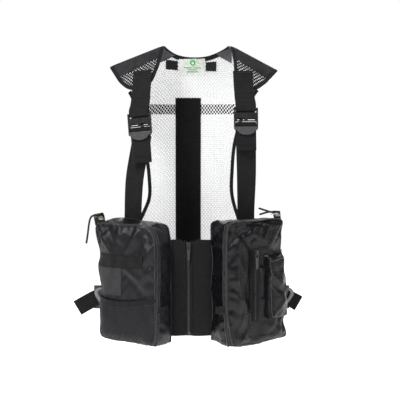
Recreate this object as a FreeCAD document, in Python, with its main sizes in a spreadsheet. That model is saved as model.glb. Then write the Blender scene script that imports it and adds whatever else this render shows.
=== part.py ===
import FreeCAD, Part
import math
import os
import re
import Sketcher

V = FreeCAD.Vector
doc = FreeCAD.newDocument("harness_vest")
sheet = doc.addObject("Spreadsheet::Sheet", "dims")

# Driving dimensions in millimetres and degrees. X runs to the right of someone facing the
# vest, Y runs from the chest to the back, Z runs up. The origin lies between the shoulders.
DIMS = {
    # cloth and webbing
    "cloth": 2.0, "webbing": 2.0, "strap_wide": 48.0, "gap": 0.4, "wall": 1.5,
    # shoulder ridges
    "neck_left_x": -67.0, "neck_left_z": -3.0, "tip_left_x": -204.0, "tip_left_z": -57.0,
    "neck_right_x": 94.0, "neck_right_z": 0.0, "tip_right_x": 214.0, "tip_right_z": -64.0,
    # side view of the back, from the ridge down
    "back_y_a": 35.0, "back_z_a": -25.0, "back_y_b": 65.0, "back_z_b": -80.0,
    "back_y_c": 84.0, "back_z_c": -160.0, "back_y_d": 89.0, "back_z_d": -260.0,
    "back_y_e": 86.0, "back_z_e": -400.0, "back_z_end": -760.0, "hem_z": -692.0,
    # side view of the yokes, from the ridge down
    "yoke_y_a": -25.0, "yoke_z_a": -30.0, "yoke_y_b": -45.0, "yoke_z_b": -70.0,
    "yoke_y_c": -57.0, "yoke_z_c": -135.0,
    # bands on the back
    "spine_left": -43.0, "spine_right": 23.0, "spine_top": -121.0, "spine_end": -680.0,
    "cross_left": -124.0, "cross_right": 116.0, "cross_top": -138.0, "cross_end": -165.0,
    "binding": 5.0,
    # front belt
    "zip_x": -8.0, "front_y": -108.0, "belt_top": -474.0, "belt_end": -702.0,
    "chain_half": 7.0, "pouch_turn": 27.0,
    # pouches, measured in their own frames from the inner back edge
    "left_pouch_x": -47.0, "right_pouch_x": 43.0,
    "left_wide": 160.0, "right_wide": 161.0, "pouch_deep": 80.0,
    "left_top_out": -429.0, "left_top_in": -436.0, "left_round": 34.0,
    "right_top_out": -420.0, "right_top_in": -426.0, "right_round": 22.0,
    "pouch_end_in": -713.0, "pouch_end_out": -702.0, "soft_round": 12.0,
    # zips
    "tape_wide": 14.0, "tape_thick": 1.0, "coil_wide": 4.0, "coil_high": 1.4,
    # buckles
    "bar_y": -88.0, "left_bar_x": -125.0, "left_bar_z": -181.0,
    "right_bar_x": 127.0, "right_bar_z": -168.5,
    "left_strap_turn": -16.0, "right_strap_turn": 4.0,
    "left_strap_lean": -4.3, "right_strap_lean": -0.8,
    "buckle_wide": 57.0, "rail_wide": 3.4, "bar_round": 2.5,
    "left_tail": 113.0, "right_tail": 96.0,
    # sides
    "side_top": -484.0, "side_end": -690.0, "side_x": 190.0, "left_side_y": -26.0, "right_side_y": -22.0,
    "cord_thick": 4.5,
}
row = 0
for name, number in DIMS.items():
    row += 1
    sheet.set("A%d" % row, name)
    sheet.set("B%d" % row, str(number))
    sheet.setAlias("B%d" % row, name)
doc.recompute()

EXPORTS = []
PLANES = {"XY": "XY_Plane", "XZ": "XZ_Plane", "YZ": "YZ_Plane"}


def full(text):
    """Every dimension name in an expression, with the name of its sheet."""
    return re.sub(r"\b([a-z][a-z_]*)\b(?!\()", r"dims.\1", str(text))


def value(text):
    result = sheet.evalExpression(full(text))
    return float(getattr(result, "Value", result))


def body(label):
    made = doc.addObject("PartDesign::Body", label)
    made.Label = label
    return made


def outline(owner, name, plane, points, lift="0"):
    """A closed polygon whose every corner is bound to the sheet."""
    sketch = owner.newObject("Sketcher::SketchObject", name)
    flat = [item for item in owner.Origin.OriginFeatures if item.Role == PLANES[plane]][0]
    sketch.AttachmentSupport = [(flat, "")]
    sketch.MapMode = "FlatFace"
    sketch.setExpression("AttachmentOffset.Base.z", full(lift))
    spots = [V(value(a), value(b), 0) for a, b in points]
    count = len(spots)
    for i in range(count):
        sketch.addGeometry(Part.LineSegment(spots[i], spots[(i + 1) % count]), False)
    for i in range(count):
        sketch.addConstraint(Sketcher.Constraint("Coincident", i, 2, (i + 1) % count, 1))
    for i in range(count):
        for axis, kind in ((0, "DistanceX"), (1, "DistanceY")):
            at = sketch.addConstraint(Sketcher.Constraint(kind, -1, 1, i, 1, spots[i][axis]))
            sketch.setExpression("Constraints[%d]" % at, full(points[i][axis]))
    return sketch


def pad(owner, name, plane, points, length, lift="0", direction=None):
    feature = owner.newObject("PartDesign::Pad", name)
    feature.Profile = outline(owner, name + "_outline", plane, points, lift)
    feature.setExpression("Length", full(length))
    if direction is not None:
        feature.UseCustomVector = True
        feature.Direction = direction
        feature.AlongSketchNormal = True
    doc.recompute()
    return feature


def pocket(owner, name, plane, points, length, lift="0"):
    """A cut that runs the same way as a pad from the same outline."""
    feature = owner.newObject("PartDesign::Pocket", name)
    feature.Profile = outline(owner, name + "_outline", plane, points, lift)
    feature.setExpression("Length", full(length))
    feature.Reversed = True
    doc.recompute()
    return feature


def round_edges(owner, feature, name, axis, spots, radius):
    """Rounds the edges parallel to an axis that pass nearest to the spots."""
    names = []
    for a, b in spots:
        best = None
        for number, edge in enumerate(feature.Shape.Edges, 1):
            if len(edge.Vertexes) != 2:
                continue
            ends = [vertex.Point for vertex in edge.Vertexes]
            run = ends[1] - ends[0]
            if run.Length < 0.01 or abs(run.normalize().dot(axis)) < 0.999:
                continue
            at = (ends[0] + ends[1]) * 0.5
            flat = [at[k] for k in range(3) if abs(axis[k]) < 0.5]
            far = math.hypot(flat[0] - value(a), flat[1] - value(b))
            if best is None or far < best[0]:
                best = (far, number)
        names.append("Edge%d" % best[1])
    fillet = owner.newObject("PartDesign::Fillet", name)
    fillet.Base = (feature, names)
    fillet.setExpression("Radius", full(radius))
    doc.recompute()
    return fillet


def place(made, base, turn="0", lean="0"):
    """Puts a piece in its frame: a turn about Z after a lean about Y."""
    spin = FreeCAD.Rotation(V(0, 0, 1), value(turn)).multiply(
        FreeCAD.Rotation(V(0, 1, 0), value(lean)))
    made.Placement = FreeCAD.Placement(V(0, 0, 0), spin)
    for axis, text in zip("xyz", base):
        made.setExpression("Placement.Base." + axis, full(text))
    doc.recompute()
    return made


def keep(made, label=None):
    if label is not None:
        made.Label = label
    EXPORTS.append(made)
    return made


def boolean(kind, label, base, tool):
    made = doc.addObject("Part::" + kind, label)
    made.Label = label
    made.Base = base
    made.Tool = tool
    doc.recompute()
    return made


def fuse(label, items):
    made = doc.addObject("Part::MultiFuse", label)
    made.Label = label
    made.Shapes = items
    doc.recompute()
    return made


def shifted(points, distance, first=None):
    """A polyline moved sideways by a distance, to the left of its direction of travel."""
    spots = [(value(a), value(b)) for a, b in points]
    sides = []
    for (xa, ya), (xb, yb) in zip(spots, spots[1:]):
        long = math.hypot(xb - xa, yb - ya)
        sides.append((-(yb - ya) / long, (xb - xa) / long))
    moved = []
    for i, (a, b) in enumerate(points):
        near = [sides[k] for k in (i - 1, i) if 0 <= k < len(sides)]
        nx = sum(item[0] for item in near)
        ny = sum(item[1] for item in near)
        size = nx * nx + ny * ny
        nx, ny = nx * len(near) / size, ny * len(near) / size
        if first is not None and i == 0:
            nx, ny = 0.0, 1.0 / ny
        moved.append(("%s + (%s) * (%.5f)" % (a, distance, nx),
                      "%s + (%s) * (%.5f)" % (b, distance, ny)))
    return moved


def ribbon(points, near, far, first=None):
    """The closed strip between two sideways shifts of a polyline."""
    return shifted(points, near, first) + shifted(points, far, first)[::-1]


BACK = [("0", "0"), ("back_y_a", "back_z_a"), ("back_y_b", "back_z_b"),
        ("back_y_c", "back_z_c"), ("back_y_d", "back_z_d"), ("back_y_e", "back_z_e"),
        ("back_y_e", "back_z_end")]
YOKE = [("0", "0"), ("yoke_y_a", "yoke_z_a"), ("yoke_y_b", "yoke_z_b"),
        ("yoke_y_c", "yoke_z_c")]


def slope(side):
    drop = value("tip_%s_z - neck_%s_z" % (side, side))
    return drop / abs(value("tip_%s_x - neck_%s_x" % (side, side)))


def flank(label, side, strip):
    """Cloth that falls away with one shoulder, from the neck to the tip."""
    made = body(label)
    neck_z = "neck_%s_z" % side
    points = [(a, "%s + %s" % (b, neck_z)) for a, b in strip]
    out = -1.0 if side == "left" else 1.0
    length = "abs(tip_%s_x - neck_%s_x)" % (side, side)
    pad(made, label + "_pad", "YZ", points, length, "neck_%s_x" % side,
        V(out, 0, slope(side)))
    return made


def back_cloth(label, near, far, front_view, parts=("left", "middle", "right")):
    """Cloth that lies a set distance off the back, cut to an outline seen from the front."""
    strip = ribbon(BACK, near, far, "ridge")
    pieces = []
    if "left" in parts:
        pieces.append(flank(label + "_left", "left", strip))
    if "middle" in parts:
        middle = body(label + "_middle")
        level = [(a, "%s + neck_left_z" % b) for a, b in strip]
        pad(middle, label + "_middle_pad", "YZ", level,
            "neck_right_x - neck_left_x", "neck_left_x")
        pieces.append(middle)
    if "right" in parts:
        right = [(a, "%s + neck_left_z - neck_right_z" % b) for a, b in strip]
        pieces.append(flank(label + "_right", "right", right))
    whole = fuse(label + "_whole", pieces) if len(pieces) > 1 else pieces[0]
    cutter = body(label + "_cutter")
    pad(cutter, label + "_cut", "XZ", front_view, "130", "-125")
    return keep(boolean("Common", label, whole, cutter))


# ------------------------------------------------------------------ back panel
NECK = [("neck_left_x", "neck_left_z - 1"), ("-40", "-19"), ("-8", "-25"), ("32", "-24"),
        ("62", "-16"), ("neck_right_x", "neck_right_z - 1")]
LEFT_SIDE = [("-198", "-62"), ("-160", "-100"), ("-131", "-170"), ("-116", "-262"),
             ("-108", "-330"), ("-109", "-385"), ("-134", "-446"), ("-150", "-500"),
             ("-150", "hem_z")]
RIGHT_SIDE = [("208", "-69"), ("164", "-100"), ("128", "-165"), ("108", "-235"),
              ("101", "-310"), ("101", "-375"), ("121", "-446"), ("138", "-500"),
              ("138", "hem_z")]
panel_outline = ([("neck_left_x - 2", "20")] + NECK + [("neck_right_x + 2", "20"),
                 ("250", "20"), ("250", "-60")] + RIGHT_SIDE + LEFT_SIDE[::-1]
                 + [("-250", "-50"), ("-250", "20")])
back_cloth("back_panel", "0", "-cloth", panel_outline)
back_cloth("neck_binding", "-cloth - gap", "-cloth - gap - 1.4",
           NECK + [("neck_right_x - 6", "-15"), ("64", "-30"), ("32", "-38"), ("-8", "-39"),
              ("-42", "-33"), ("neck_left_x + 6", "-18")], ("middle",))
back_cloth("left_side_binding", "1", "-cloth - 1",
           ribbon(LEFT_SIDE[1:], "-0.3", "-binding"), ("left", "middle"))
back_cloth("right_side_binding", "1", "-cloth - 1",
           ribbon(RIGHT_SIDE[1:], "0.3", "binding"), ("middle", "right"))
back_cloth("spine_band", "-cloth - gap", "-cloth - gap - webbing",
           [("spine_left", "spine_top"), ("spine_right", "spine_top"),
            ("spine_right", "spine_end"), ("spine_left", "spine_end")], ("middle",))
back_cloth("cross_band", "gap", "gap + webbing",
           [("cross_left", "cross_top"), ("cross_right", "cross_top"),
            ("cross_right", "cross_end"), ("cross_left", "cross_end")])
back_cloth("neck_label", "-cloth - 2.2", "-cloth - 3",
           [("-34", "-26.5"), ("34", "-26.5"), ("34", "-61"), ("-34", "-61")], ("middle",))
back_cloth("left_hook_patch", "-cloth - 2.2", "-cloth - 3.6",
           [("-66", "-27"), ("-35", "-31"), ("-35", "-55"), ("-66", "-51")], ("middle",))
back_cloth("right_hook_patch", "-cloth - 2.2", "-cloth - 3.6",
           [("35", "-34"), ("63", "-32"), ("63", "-56"), ("35", "-55")], ("middle",))

# ------------------------------------------------------------------ shoulder yokes
YOKE_LEFT = [("-69.5", "-4"), ("-74", "-22"), ("-84", "-72"), ("-106", "-108"),
             ("-150", "-119"), ("-172", "-99"), ("-200", "-59")]
YOKE_RIGHT = [("96.5", "-2"), ("100", "-22"), ("103", "-74"), ("113", "-105"),
              ("152", "-120"), ("179", "-99"), ("210", "-66")]


def yoke(side, edge):
    strip = shifted(YOKE, "cloth", "ridge") + shifted(YOKE, "0", "ridge")[::-1]
    cloth = flank(side + "_yoke_cloth", side, strip)
    cutter = body(side + "_yoke_cutter")
    top = [(edge[-1][0], "20"), (edge[0][0], "20")]
    pad(cutter, side + "_yoke_cut", "XZ", edge + top, "90", "-5")
    keep(boolean("Common", side + "_yoke", cloth, cutter))
    thick = shifted(YOKE, "cloth + 0.8", "ridge") + shifted(YOKE, "-0.8", "ridge")[::-1]
    edging = flank(side + "_edging", side, thick)
    rim = body(side + "_rim")
    out = "" if side == "left" else "-"
    pad(rim, side + "_rim_pad", "XZ",
        ribbon(edge, out + "0.3", out + "binding"), "90", "-5")
    keep(boolean("Common", side + "_yoke_binding", edging, rim))


yoke("left", YOKE_LEFT)
yoke("right", YOKE_RIGHT)


# ------------------------------------------------------------------ shoulder straps
def strap_frame(made, side):
    base = (side + "_bar_x", "bar_y", side + "_bar_z")
    return place(made, base, side + "_strap_turn", side + "_strap_lean")


def across(points):
    return [("%s" % a, "%s" % b) for a, b in points]


def upper_strap(side, path):
    """Webbing sewn on the yoke above, folded round the top bar of the buckle below."""
    made = body(side + "_upper_strap")
    inner = [(2.9, 12), (2.9, -1.2), (1.2, -2.9), (-1.2, -2.9), (-2.9, -1.2), (-2.9, 12)]
    rise = [("%s + webbing" % y, z) for y, z in path]
    pad(made, side + "_loop", "YZ",
               across([(-4.4, 16), (-4.4, -1.8), (-1.8, -4.4), (1.8, -4.4), (4.4, -1.8),
                       (4.4, 16)]),
               "strap_wide", "-strap_wide / 2")
    pad(made, side + "_run", "YZ",
        [(y, z) for y, z in path] + rise[::-1], "strap_wide", "-strap_wide / 2")
    pocket(made, side + "_eye", "YZ", across(inner), "strap_wide + 2", "-strap_wide / 2 - 1")
    keep(strap_frame(made, side))


upper_strap("left", [("-2", "14"), ("12", "31"), ("29", "66"), ("37.5", "89"), ("47", "110")])
upper_strap("right", [("-2", "14"), ("11", "28"), ("28.5", "54"), ("35", "77"),
                      ("41", "95.5")])


def buckle(side):
    """A ladder lock: two rails, a round top bar, a slotted plate, a strap bar and a tab."""
    made = body(side + "_buckle_frame")
    half = "buckle_wide / 2"
    pad(made, side + "_rails", "XZ",
                [("-%s" % half, "4"), (half, "4"), (half, "-44"), ("%s - 4" % half, "-50"),
                 ("-%s + 4" % half, "-50"), ("-%s" % half, "-44")], "7.5", "-4")
    inside = "%s - rail_wide" % half
    pocket(made, side + "_top_window", "XZ",
           [("-(%s)" % inside, "5"), (inside, "5"), (inside, "-7"), ("-(%s)" % inside, "-7")],
           "20", "-10")
    for number, (xa, xb) in enumerate((("-21", "-4"), ("4", "21"))):
        pocket(made, "%s_slit_%s" % (side, "ab"[number]), "XZ",
               [(xa, "-20"), (xb, "-20"), (xb, "-25"), (xa, "-25")], "20", "-10")
    pocket(made, side + "_strap_window", "XZ",
           [("-(%s)" % inside, "-28"), (inside, "-28"), (inside, "-60"),
            ("-(%s)" % inside, "-60")], "20", "-10")
    pocket(made, side + "_thin_plate", "XZ",
           [("-(%s)" % inside, "-6"), (inside, "-6"), (inside, "-30"),
            ("-(%s)" % inside, "-30")], "4", "-6")
    strap_bar = doc.addObject("Part::Box", side + "_strap_bar")
    for prop, text in (("Length", "buckle_wide - 4"), ("Width", "3.5"), ("Height", "5")):
        strap_bar.setExpression(prop, full(text))
    place(strap_bar, ("-buckle_wide / 2 + 2", "0", "-39"))
    tab = body(side + "_tab")
    bow = pad(tab, side + "_tab_plate", "XZ",
              [("-%s + 1" % half, "-40"), ("%s - 1" % half, "-40"), ("%s - 1" % half, "-47"),
               ("22", "-49"), ("17", "-55"), ("9", "-58.6"), ("0", "-59.6"), ("-9", "-58.6"),
               ("-17", "-55"), ("-22", "-49"), ("-%s + 1" % half, "-47")], "3.5", "3")
    round_edges(tab, bow, side + "_tab_soft", V(1, 0, 0), [("-6.5", "-40")], "1.2")
    top_bar = doc.addObject("Part::Cylinder", side + "_top_bar")
    top_bar.setExpression("Radius", full("bar_round"))
    top_bar.setExpression("Height", full("buckle_wide - 3"))
    top_bar.Placement = FreeCAD.Placement(V(0, 0, 0), FreeCAD.Rotation(V(0, 1, 0), 90))
    top_bar.setExpression("Placement.Base.x", full("-buckle_wide / 2 + 1.5"))
    whole = fuse(side + "_buckle", [made, strap_bar, tab, top_bar])
    keep(strap_frame(whole, side))


buckle("left")
buckle("right")


def strap_tail(side):
    """The free end: up behind the strap bar, over it and down behind the tab to a hem."""
    made = body(side + "_strap_tail")
    far = "-%s_tail" % side
    pad(made, side + "_tail_fold", "YZ",
        [("5.5", "-58"), ("5.5", "-32.5"), ("4.5", "-31.4"), ("-1", "-31.4"), ("-2", "-32.5"),
         ("-2", "%s + 10" % far), ("-3.6", "%s + 10" % far), ("-3.6", far), ("-0.5", far),
         ("-0.5", "-33.2"), ("4", "-33.2"), ("4", "-58")],
        "strap_wide", "-strap_wide / 2")
    keep(strap_frame(made, side))


strap_tail("left")
strap_tail("right")


def lower_strap(side, stations):
    """Webbing from behind the buckle down to the top of the belt, turning as it goes."""
    owner = body(side + "_lower_strap")
    sections = []
    for number, (x, y, z, turn) in enumerate(stations):
        half = "strap_wide / 2"
        thick = "webbing / 2"
        c, s = "cos(%s)" % turn, "sin(%s)" % turn
        corners = []
        for a, b in (("-", "-"), ("", "-"), ("", ""), ("-", "")):
            corners.append(("%s + (%s%s) * %s - (%s%s) * %s" % (x, a, half, c, b, thick, s),
                            "%s + (%s%s) * %s + (%s%s) * %s" % (y, a, half, s, b, thick, c)))
        sections.append(outline(owner, "%s_section_%s" % (side, "abcd"[number]), "XY",
                                corners, z))
    doc.recompute()
    loft = owner.newObject("PartDesign::AdditiveLoft", side + "_loft")
    loft.Profile = sections[0]
    loft.Sections = sections[1:]
    loft.Ruled = True
    doc.recompute()
    keep(owner)


lower_strap("left", [("-120.2", "-81.8", "-241.8", "-16"), ("-137", "-71", "-330", "-22"),
                     ("-142.9", "-56.9", "-419", "-27"), ("-143.4", "-57.4", "-473.4", "-27")])
lower_strap("right", [("127.6", "-82.4", "-229.3", "4"), ("130", "-74", "-320", "14"),
                      ("130", "-62.1", "-408", "27"), ("130.4", "-61.9", "-473.4", "27")])


# ------------------------------------------------------------------ waist belt and sides
def belt(side, sign):
    inner = "zip_x + (%s) * chain_half" % sign
    bend = side + "_pouch_x"
    wide = side + "_wide"
    out_x = "%s + (%s) * %s * cos(pouch_turn)" % (bend, sign, wide)
    out_y = "front_y + %s * sin(pouch_turn)" % wide
    back = "front_y + cloth"
    made = body(side + "_belt_panel")
    pad(made, side + "_belt_pad", "XY",
        [(inner, "front_y"), (bend, "front_y"), (out_x, out_y),
         ("%s - (%s) * cloth * sin(pouch_turn)" % (out_x, sign),
          "%s + cloth * cos(pouch_turn)" % out_y),
         ("%s - (%s) * cloth * tan(pouch_turn / 2)" % (bend, sign), back), (inner, back)],
        "belt_top - belt_end", "belt_end")
    keep(made)


belt("left", "-1")
belt("right", "1")


def side_panel(side, sign, back_x):
    """Stretch cloth from the belt's outer end round to the back."""
    made = body(side + "_side_panel")
    path = [("(%s) * side_x" % sign, side + "_side_y"), ("(%s) * (side_x + 1)" % sign, "8"),
            ("(%s) * (side_x - 12)" % sign, "50"), (back_x, "84.5")]
    inward = "cloth" if sign == "1" else "-cloth"
    pad(made, side + "_side_pad", "XY", ribbon(path, "0", inward),
        "side_top - side_end", "side_end")
    keep(made)


side_panel("left", "-1", "-157")
side_panel("right", "1", "145")


def side_strap(side, sign, tail):
    """Adjusting strap on the side: a run along the side, then the free end sticking out."""
    made = body(side + "_side_strap")
    run = [("(%s) * (side_x + 2.5)" % sign, "-18"), ("(%s) * (side_x + 3.2)" % sign, "9"),
           ("(%s) * (side_x - 9)" % sign, "52")]
    far = "-webbing" if sign == "1" else "webbing"
    pad(made, side + "_side_run", "XY", ribbon(run, "0", far), "40", "-648")
    pad(made, side + "_side_tail", "XZ", tail, "webbing", "-4")
    keep(made)


side_strap("left", "-1", [("-192.5", "-604"), ("-250", "-604"), ("-294", "-636"),
                          ("-281", "-677"), ("-246", "-655.5"), ("-192.5", "-646")])
side_strap("right", "1", [("192.5", "-604"), ("246", "-604"), ("258", "-622"),
                          ("270", "-636"), ("266", "-650"), ("246", "-655"),
                          ("192.5", "-646")])


def side_slider(side, sign, x):
    """A three-bar slider that the side strap's free end passes through."""
    made = body(side + "_side_slider")
    far = "%s + (%s) * 20" % (x, sign)
    pad(made, side + "_glide", "XZ",
        [(x, "-600"), (far, "-600"), (far, "-658"), (x, "-658")], "7", "-7")
    pocket(made, side + "_glide_slot", "YZ",
           [("0.9", "-602"), ("5.1", "-602"), ("5.1", "-656"), ("0.9", "-656")],
           "60", "%s - 30" % x)
    keep(made)


side_slider("left", "-1", "-226")
side_slider("right", "1", "224")


# ------------------------------------------------------------------ centre zip
def chain(side, sign, top, end, coil_top, coil_end):
    """One half of the zip: a tape with its row of teeth."""
    made = body(side + "_zip_chain")
    outer = "zip_x + (%s) * chain_half" % sign
    inner = "zip_x + (%s) * 2.6" % sign
    teeth = "zip_x + (%s) * 0.9" % sign
    middle = "front_y + cloth / 2"
    pad(made, side + "_tape", "XY",
        [(outer, middle + " - 0.5"), (inner, middle + " - 0.5"), (inner, middle + " + 0.5"),
         (outer, middle + " + 0.5")], "(%s) - (%s)" % (top, end), end)
    pad(made, side + "_teeth", "XY",
        [(inner, middle + " - 1.6"), (teeth, middle + " - 1.6"), (teeth, middle + " + 1.6"),
         (inner, middle + " + 1.6")], "(%s) - (%s)" % (coil_top, coil_end), coil_end)
    keep(made)


chain("left", "-1", "belt_top", "belt_end", "-478", "-691")
chain("right", "1", "-494.5", "-675.5", "-494.5", "-675.5")

box = body("zip_box")
pad(box, "zip_box_pad", "XY",
    [("zip_x - 2.3", "front_y - 1.5"), ("zip_x + 5", "front_y - 1.5"),
     ("zip_x + 5", "front_y + 3.5"), ("zip_x - 2.3", "front_y + 3.5")], "9", "-701")
keep(box)

glider = body("center_slider")
pad(glider, "center_plate", "XZ",
    [("zip_x - 5.5", "-480"), ("zip_x + 5.5", "-480"), ("zip_x + 4.5", "-492"),
     ("zip_x - 4.5", "-492")], "8", "103")
pocket(glider, "center_left_side", "XZ",
       [("zip_x - 9", "-476"), ("zip_x - 0.6", "-476"), ("zip_x - 0.6", "-496"),
        ("zip_x - 9", "-496")], "4.4", "104.8")
pocket(glider, "center_right_side", "XZ",
       [("zip_x + 0.6", "-476"), ("zip_x + 9", "-476"), ("zip_x + 9", "-496"),
        ("zip_x + 0.6", "-496")], "4.4", "104.8")
pad(glider, "center_crown", "XZ",
    [("zip_x - 1.5", "-482"), ("zip_x + 1.5", "-482"), ("zip_x + 1.5", "-490"),
     ("zip_x - 1.5", "-490")], "4.5", "110.5")
pocket(glider, "center_eye", "YZ",
       [("-114", "-483.6"), ("-111.4", "-483.6"), ("-111.4", "-487.6"), ("-114", "-487.6")],
       "20", "zip_x - 10")
keep(glider)

puller = body("center_pull")
pad(puller, "center_pull_bow", "XZ",
    [("zip_x - 4", "-484.2"), ("zip_x + 4", "-484.2"), ("zip_x + 4", "-499"),
     ("zip_x + 2.6", "-522"), ("zip_x - 2.6", "-522"), ("zip_x - 4", "-499")],
    "1.4", "112")
pocket(puller, "center_pull_eye", "XZ",
       [("zip_x - 2.4", "-485.8"), ("zip_x + 2.4", "-485.8"), ("zip_x + 2.4", "-496"),
        ("zip_x - 2.4", "-496")], "10", "108")
keep(puller)


# ------------------------------------------------------------------ pouches
def pouch_frame(made, side):
    turn = "-pouch_turn" if side == "left" else "pouch_turn"
    return place(made, (side + "_pouch_x", "front_y", "0"), turn)


def pouch_outline(side, sign, grow):
    wide = side + "_wide"
    near = "-(%s) * (%s)" % (sign, grow)
    far = "(%s) * (%s + %s)" % (sign, wide, grow)
    return [(near, "pouch_end_in - (%s)" % grow), (far, "pouch_end_out - (%s)" % grow),
            (far, "%s_top_out + (%s)" % (side, grow)),
            (near, "%s_top_in + (%s)" % (side, grow))]


def soften(owner, feature, name, side, sign, grow, only_top=False):
    spots = pouch_outline(side, sign, grow)
    big = "%s_round + (%s)" % (side, grow)
    small = "soft_round + (%s)" % grow
    top = round_edges(owner, feature, name + "_top", V(0, 1, 0), [spots[3]], big)
    if only_top:
        return top
    return round_edges(owner, top, name + "_rest", V(0, 1, 0), spots[:3], small)


def pouch_slab(label, side, sign, lift):
    made = body(label)
    slab = pad(made, label + "_pad", "XZ", pouch_outline(side, sign, "0"), "wall", lift)
    soften(made, slab, label + "_soft", side, sign, "0")
    keep(pouch_frame(made, side))


def pouch(side, sign):
    pouch_slab(side + "_pouch_back", side, sign, "0")
    pouch_slab(side + "_pouch_front", side, sign, "pouch_deep - wall")
    outer = body(side + "_pouch_outer")
    full_pad = pad(outer, side + "_gusset_pad", "XZ", pouch_outline(side, sign, "0"),
                   "pouch_deep - 2 * wall", "wall")
    soften(outer, full_pad, side + "_gusset_soft", side, sign, "0")
    core = body(side + "_pouch_core")
    core_pad = pad(core, side + "_core_pad", "XZ", pouch_outline(side, sign, "-wall"),
                   "pouch_deep", "0")
    soften(core, core_pad, side + "_core_soft", side, sign, "-wall")
    ring = boolean("Cut", side + "_pouch_gusset", outer, core)
    keep(pouch_frame(ring, side))
    zip_ribbon(side, sign)


def zip_ribbon(side, sign):
    """The curved zip: along the top of the pouch, round the inner corner and down."""
    tape = body(side + "_tape_outer")
    tape_pad = pad(tape, side + "_tape_pad", "XZ",
                   pouch_outline(side, sign, "gap + tape_thick"), "tape_wide",
                   "pouch_deep - 3 - tape_wide")
    soften(tape, tape_pad, side + "_tape_soft", side, sign, "gap + tape_thick", True)
    coil = body(side + "_coil_outer")
    grow = "gap + tape_thick + coil_high"
    coil_pad = pad(coil, side + "_coil_pad", "XZ", pouch_outline(side, sign, grow),
                   "coil_wide", "pouch_deep - 3 - tape_wide / 2 - coil_wide / 2")
    soften(coil, coil_pad, side + "_coil_soft", side, sign, grow, True)
    both = fuse(side + "_zip_solid", [tape, coil])
    core = body(side + "_zip_core")
    core_pad = pad(core, side + "_zip_core_pad", "XZ", pouch_outline(side, sign, "gap"),
                   "pouch_deep", "0")
    soften(core, core_pad, side + "_zip_core_soft", side, sign, "gap", True)
    hollow = boolean("Cut", side + "_zip_hollow", both, core)
    wide = side + "_wide"
    rest = body(side + "_zip_rest")
    edge = "(%s) * (%s - 5)" % (sign, wide)
    far = "(%s) * (%s + 30)" % (sign, wide)
    near = "(%s) * (-30)" % sign
    pad(rest, side + "_zip_rest_pad", "XZ",
        [(edge, "-380"), (far, "-380"), (far, "-740"), (near, "-740"), (near, "-684"),
         (edge, "-684")], "pouch_deep + 20", "-10")
    keep(pouch_frame(boolean("Cut", side + "_pouch_zip", hollow, rest), side))


pouch("left", "-1")
pouch("right", "1")


def front_piece(label, side, sign, points, thick, lift="pouch_deep + gap"):
    """A flat piece sewn on the front of a pouch; its corners run outward from the inner edge."""
    made = body(label)
    pad(made, label + "_pad", "XZ", [("(%s) * (%s)" % (sign, a), b) for a, b in points],
        thick, lift)
    return keep(pouch_frame(made, side))


front_piece("daisy_strip", "left", "-1",
            [("33", "-505"), ("153", "-504"), ("153", "-531"), ("33", "-530")], "webbing")
front_piece("loop_patch", "left", "-1",
            [("82", "-534"), ("153", "-534"), ("153", "-598"), ("82", "-598")], "1.4")
front_piece("mesh_pocket", "left", "-1",
            [("3", "-615"), ("155", "-613"), ("155", "-692"), ("147", "-700"),
             ("12", "-709"), ("3", "-702")], "1.6")
front_piece("pocket_elastic", "left", "-1",
            [("3", "-605"), ("155", "-603"), ("155", "-612.6"), ("3", "-614.6")], "2.4")
front_piece("right_front_pocket", "right", "1",
            [("86", "-508"), ("157", "-506"), ("157", "-652"), ("86", "-653")], "2.6")
front_piece("right_pocket_zip", "right", "1",
            [("66", "-492"), ("82", "-492"), ("82", "-658"), ("66", "-658")],
            "tape_thick")
pocket_zip = EXPORTS[-1]
pad(pocket_zip, "pocket_coil", "XZ", [("72", "-492"), ("76", "-492"), ("76", "-658"),
                                      ("72", "-658")],
    "coil_high + 0.2", "pouch_deep + gap + tape_thick - 0.2")


def tabs(side, sign):
    """A standing webbing loop at the outer top corner and a small one on the inner gusset."""
    wide = side + "_wide"
    corner = body(side + "_corner_tab")
    top = side + "_top_out"
    pad(corner, side + "_corner_pad", "XZ",
        [("(%s) * (%s - 22)" % (sign, wide), top + " + 3.6"),
         ("(%s) * (%s - 3)" % (sign, wide), top + " + 2.6"),
         ("(%s) * (%s + 3)" % (sign, wide), top + " + 18"),
         ("(%s) * (%s - 22)" % (sign, wide), top + " + 21")], "webbing", "56")
    keep(pouch_frame(corner, side))
    small = body(side + "_gusset_tab")
    pad(small, side + "_gusset_tab_pad", "YZ",
        [("-30", "-628"), ("-60", "-621"), ("-60", "-637"), ("-54", "-640"), ("-30", "-644")],
        "webbing", "(%s) * (-gap) - webbing * %s" % (sign, "1" if sign == "1" else "0"))
    keep(pouch_frame(small, side))


tabs("left", "-1")
tabs("right", "1")


# ------------------------------------------------------------------ pouch zip sliders
def frame_of(side, sign, along, out, up):
    """Placement of a small frame on a pouch's top edge, leaning with that edge."""
    turn = value("-pouch_turn" if side == "left" else "pouch_turn")
    rise = value("%s_top_out - %s_top_in" % (side, side))
    lean = math.degrees(math.atan2(rise, value(side + "_wide"))) * (-float(sign))
    spot = V(float(sign) * along, -out, up)
    spin = FreeCAD.Rotation(V(0, 0, 1), turn)
    base = V(value(side + "_pouch_x"), value("front_y"), 0) + spin.multVec(spot)
    return FreeCAD.Placement(base, spin.multiply(FreeCAD.Rotation(V(0, 1, 0), lean)))


def top_frame(side, sign, along):
    share = along / value(side + "_wide")
    up = value("%s_top_in" % side) * (1 - share) + value("%s_top_out" % side) * share
    out = value("pouch_deep - 3 - tape_wide / 2")
    return frame_of(side, sign, along, out, up + value("gap + tape_thick"))


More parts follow.
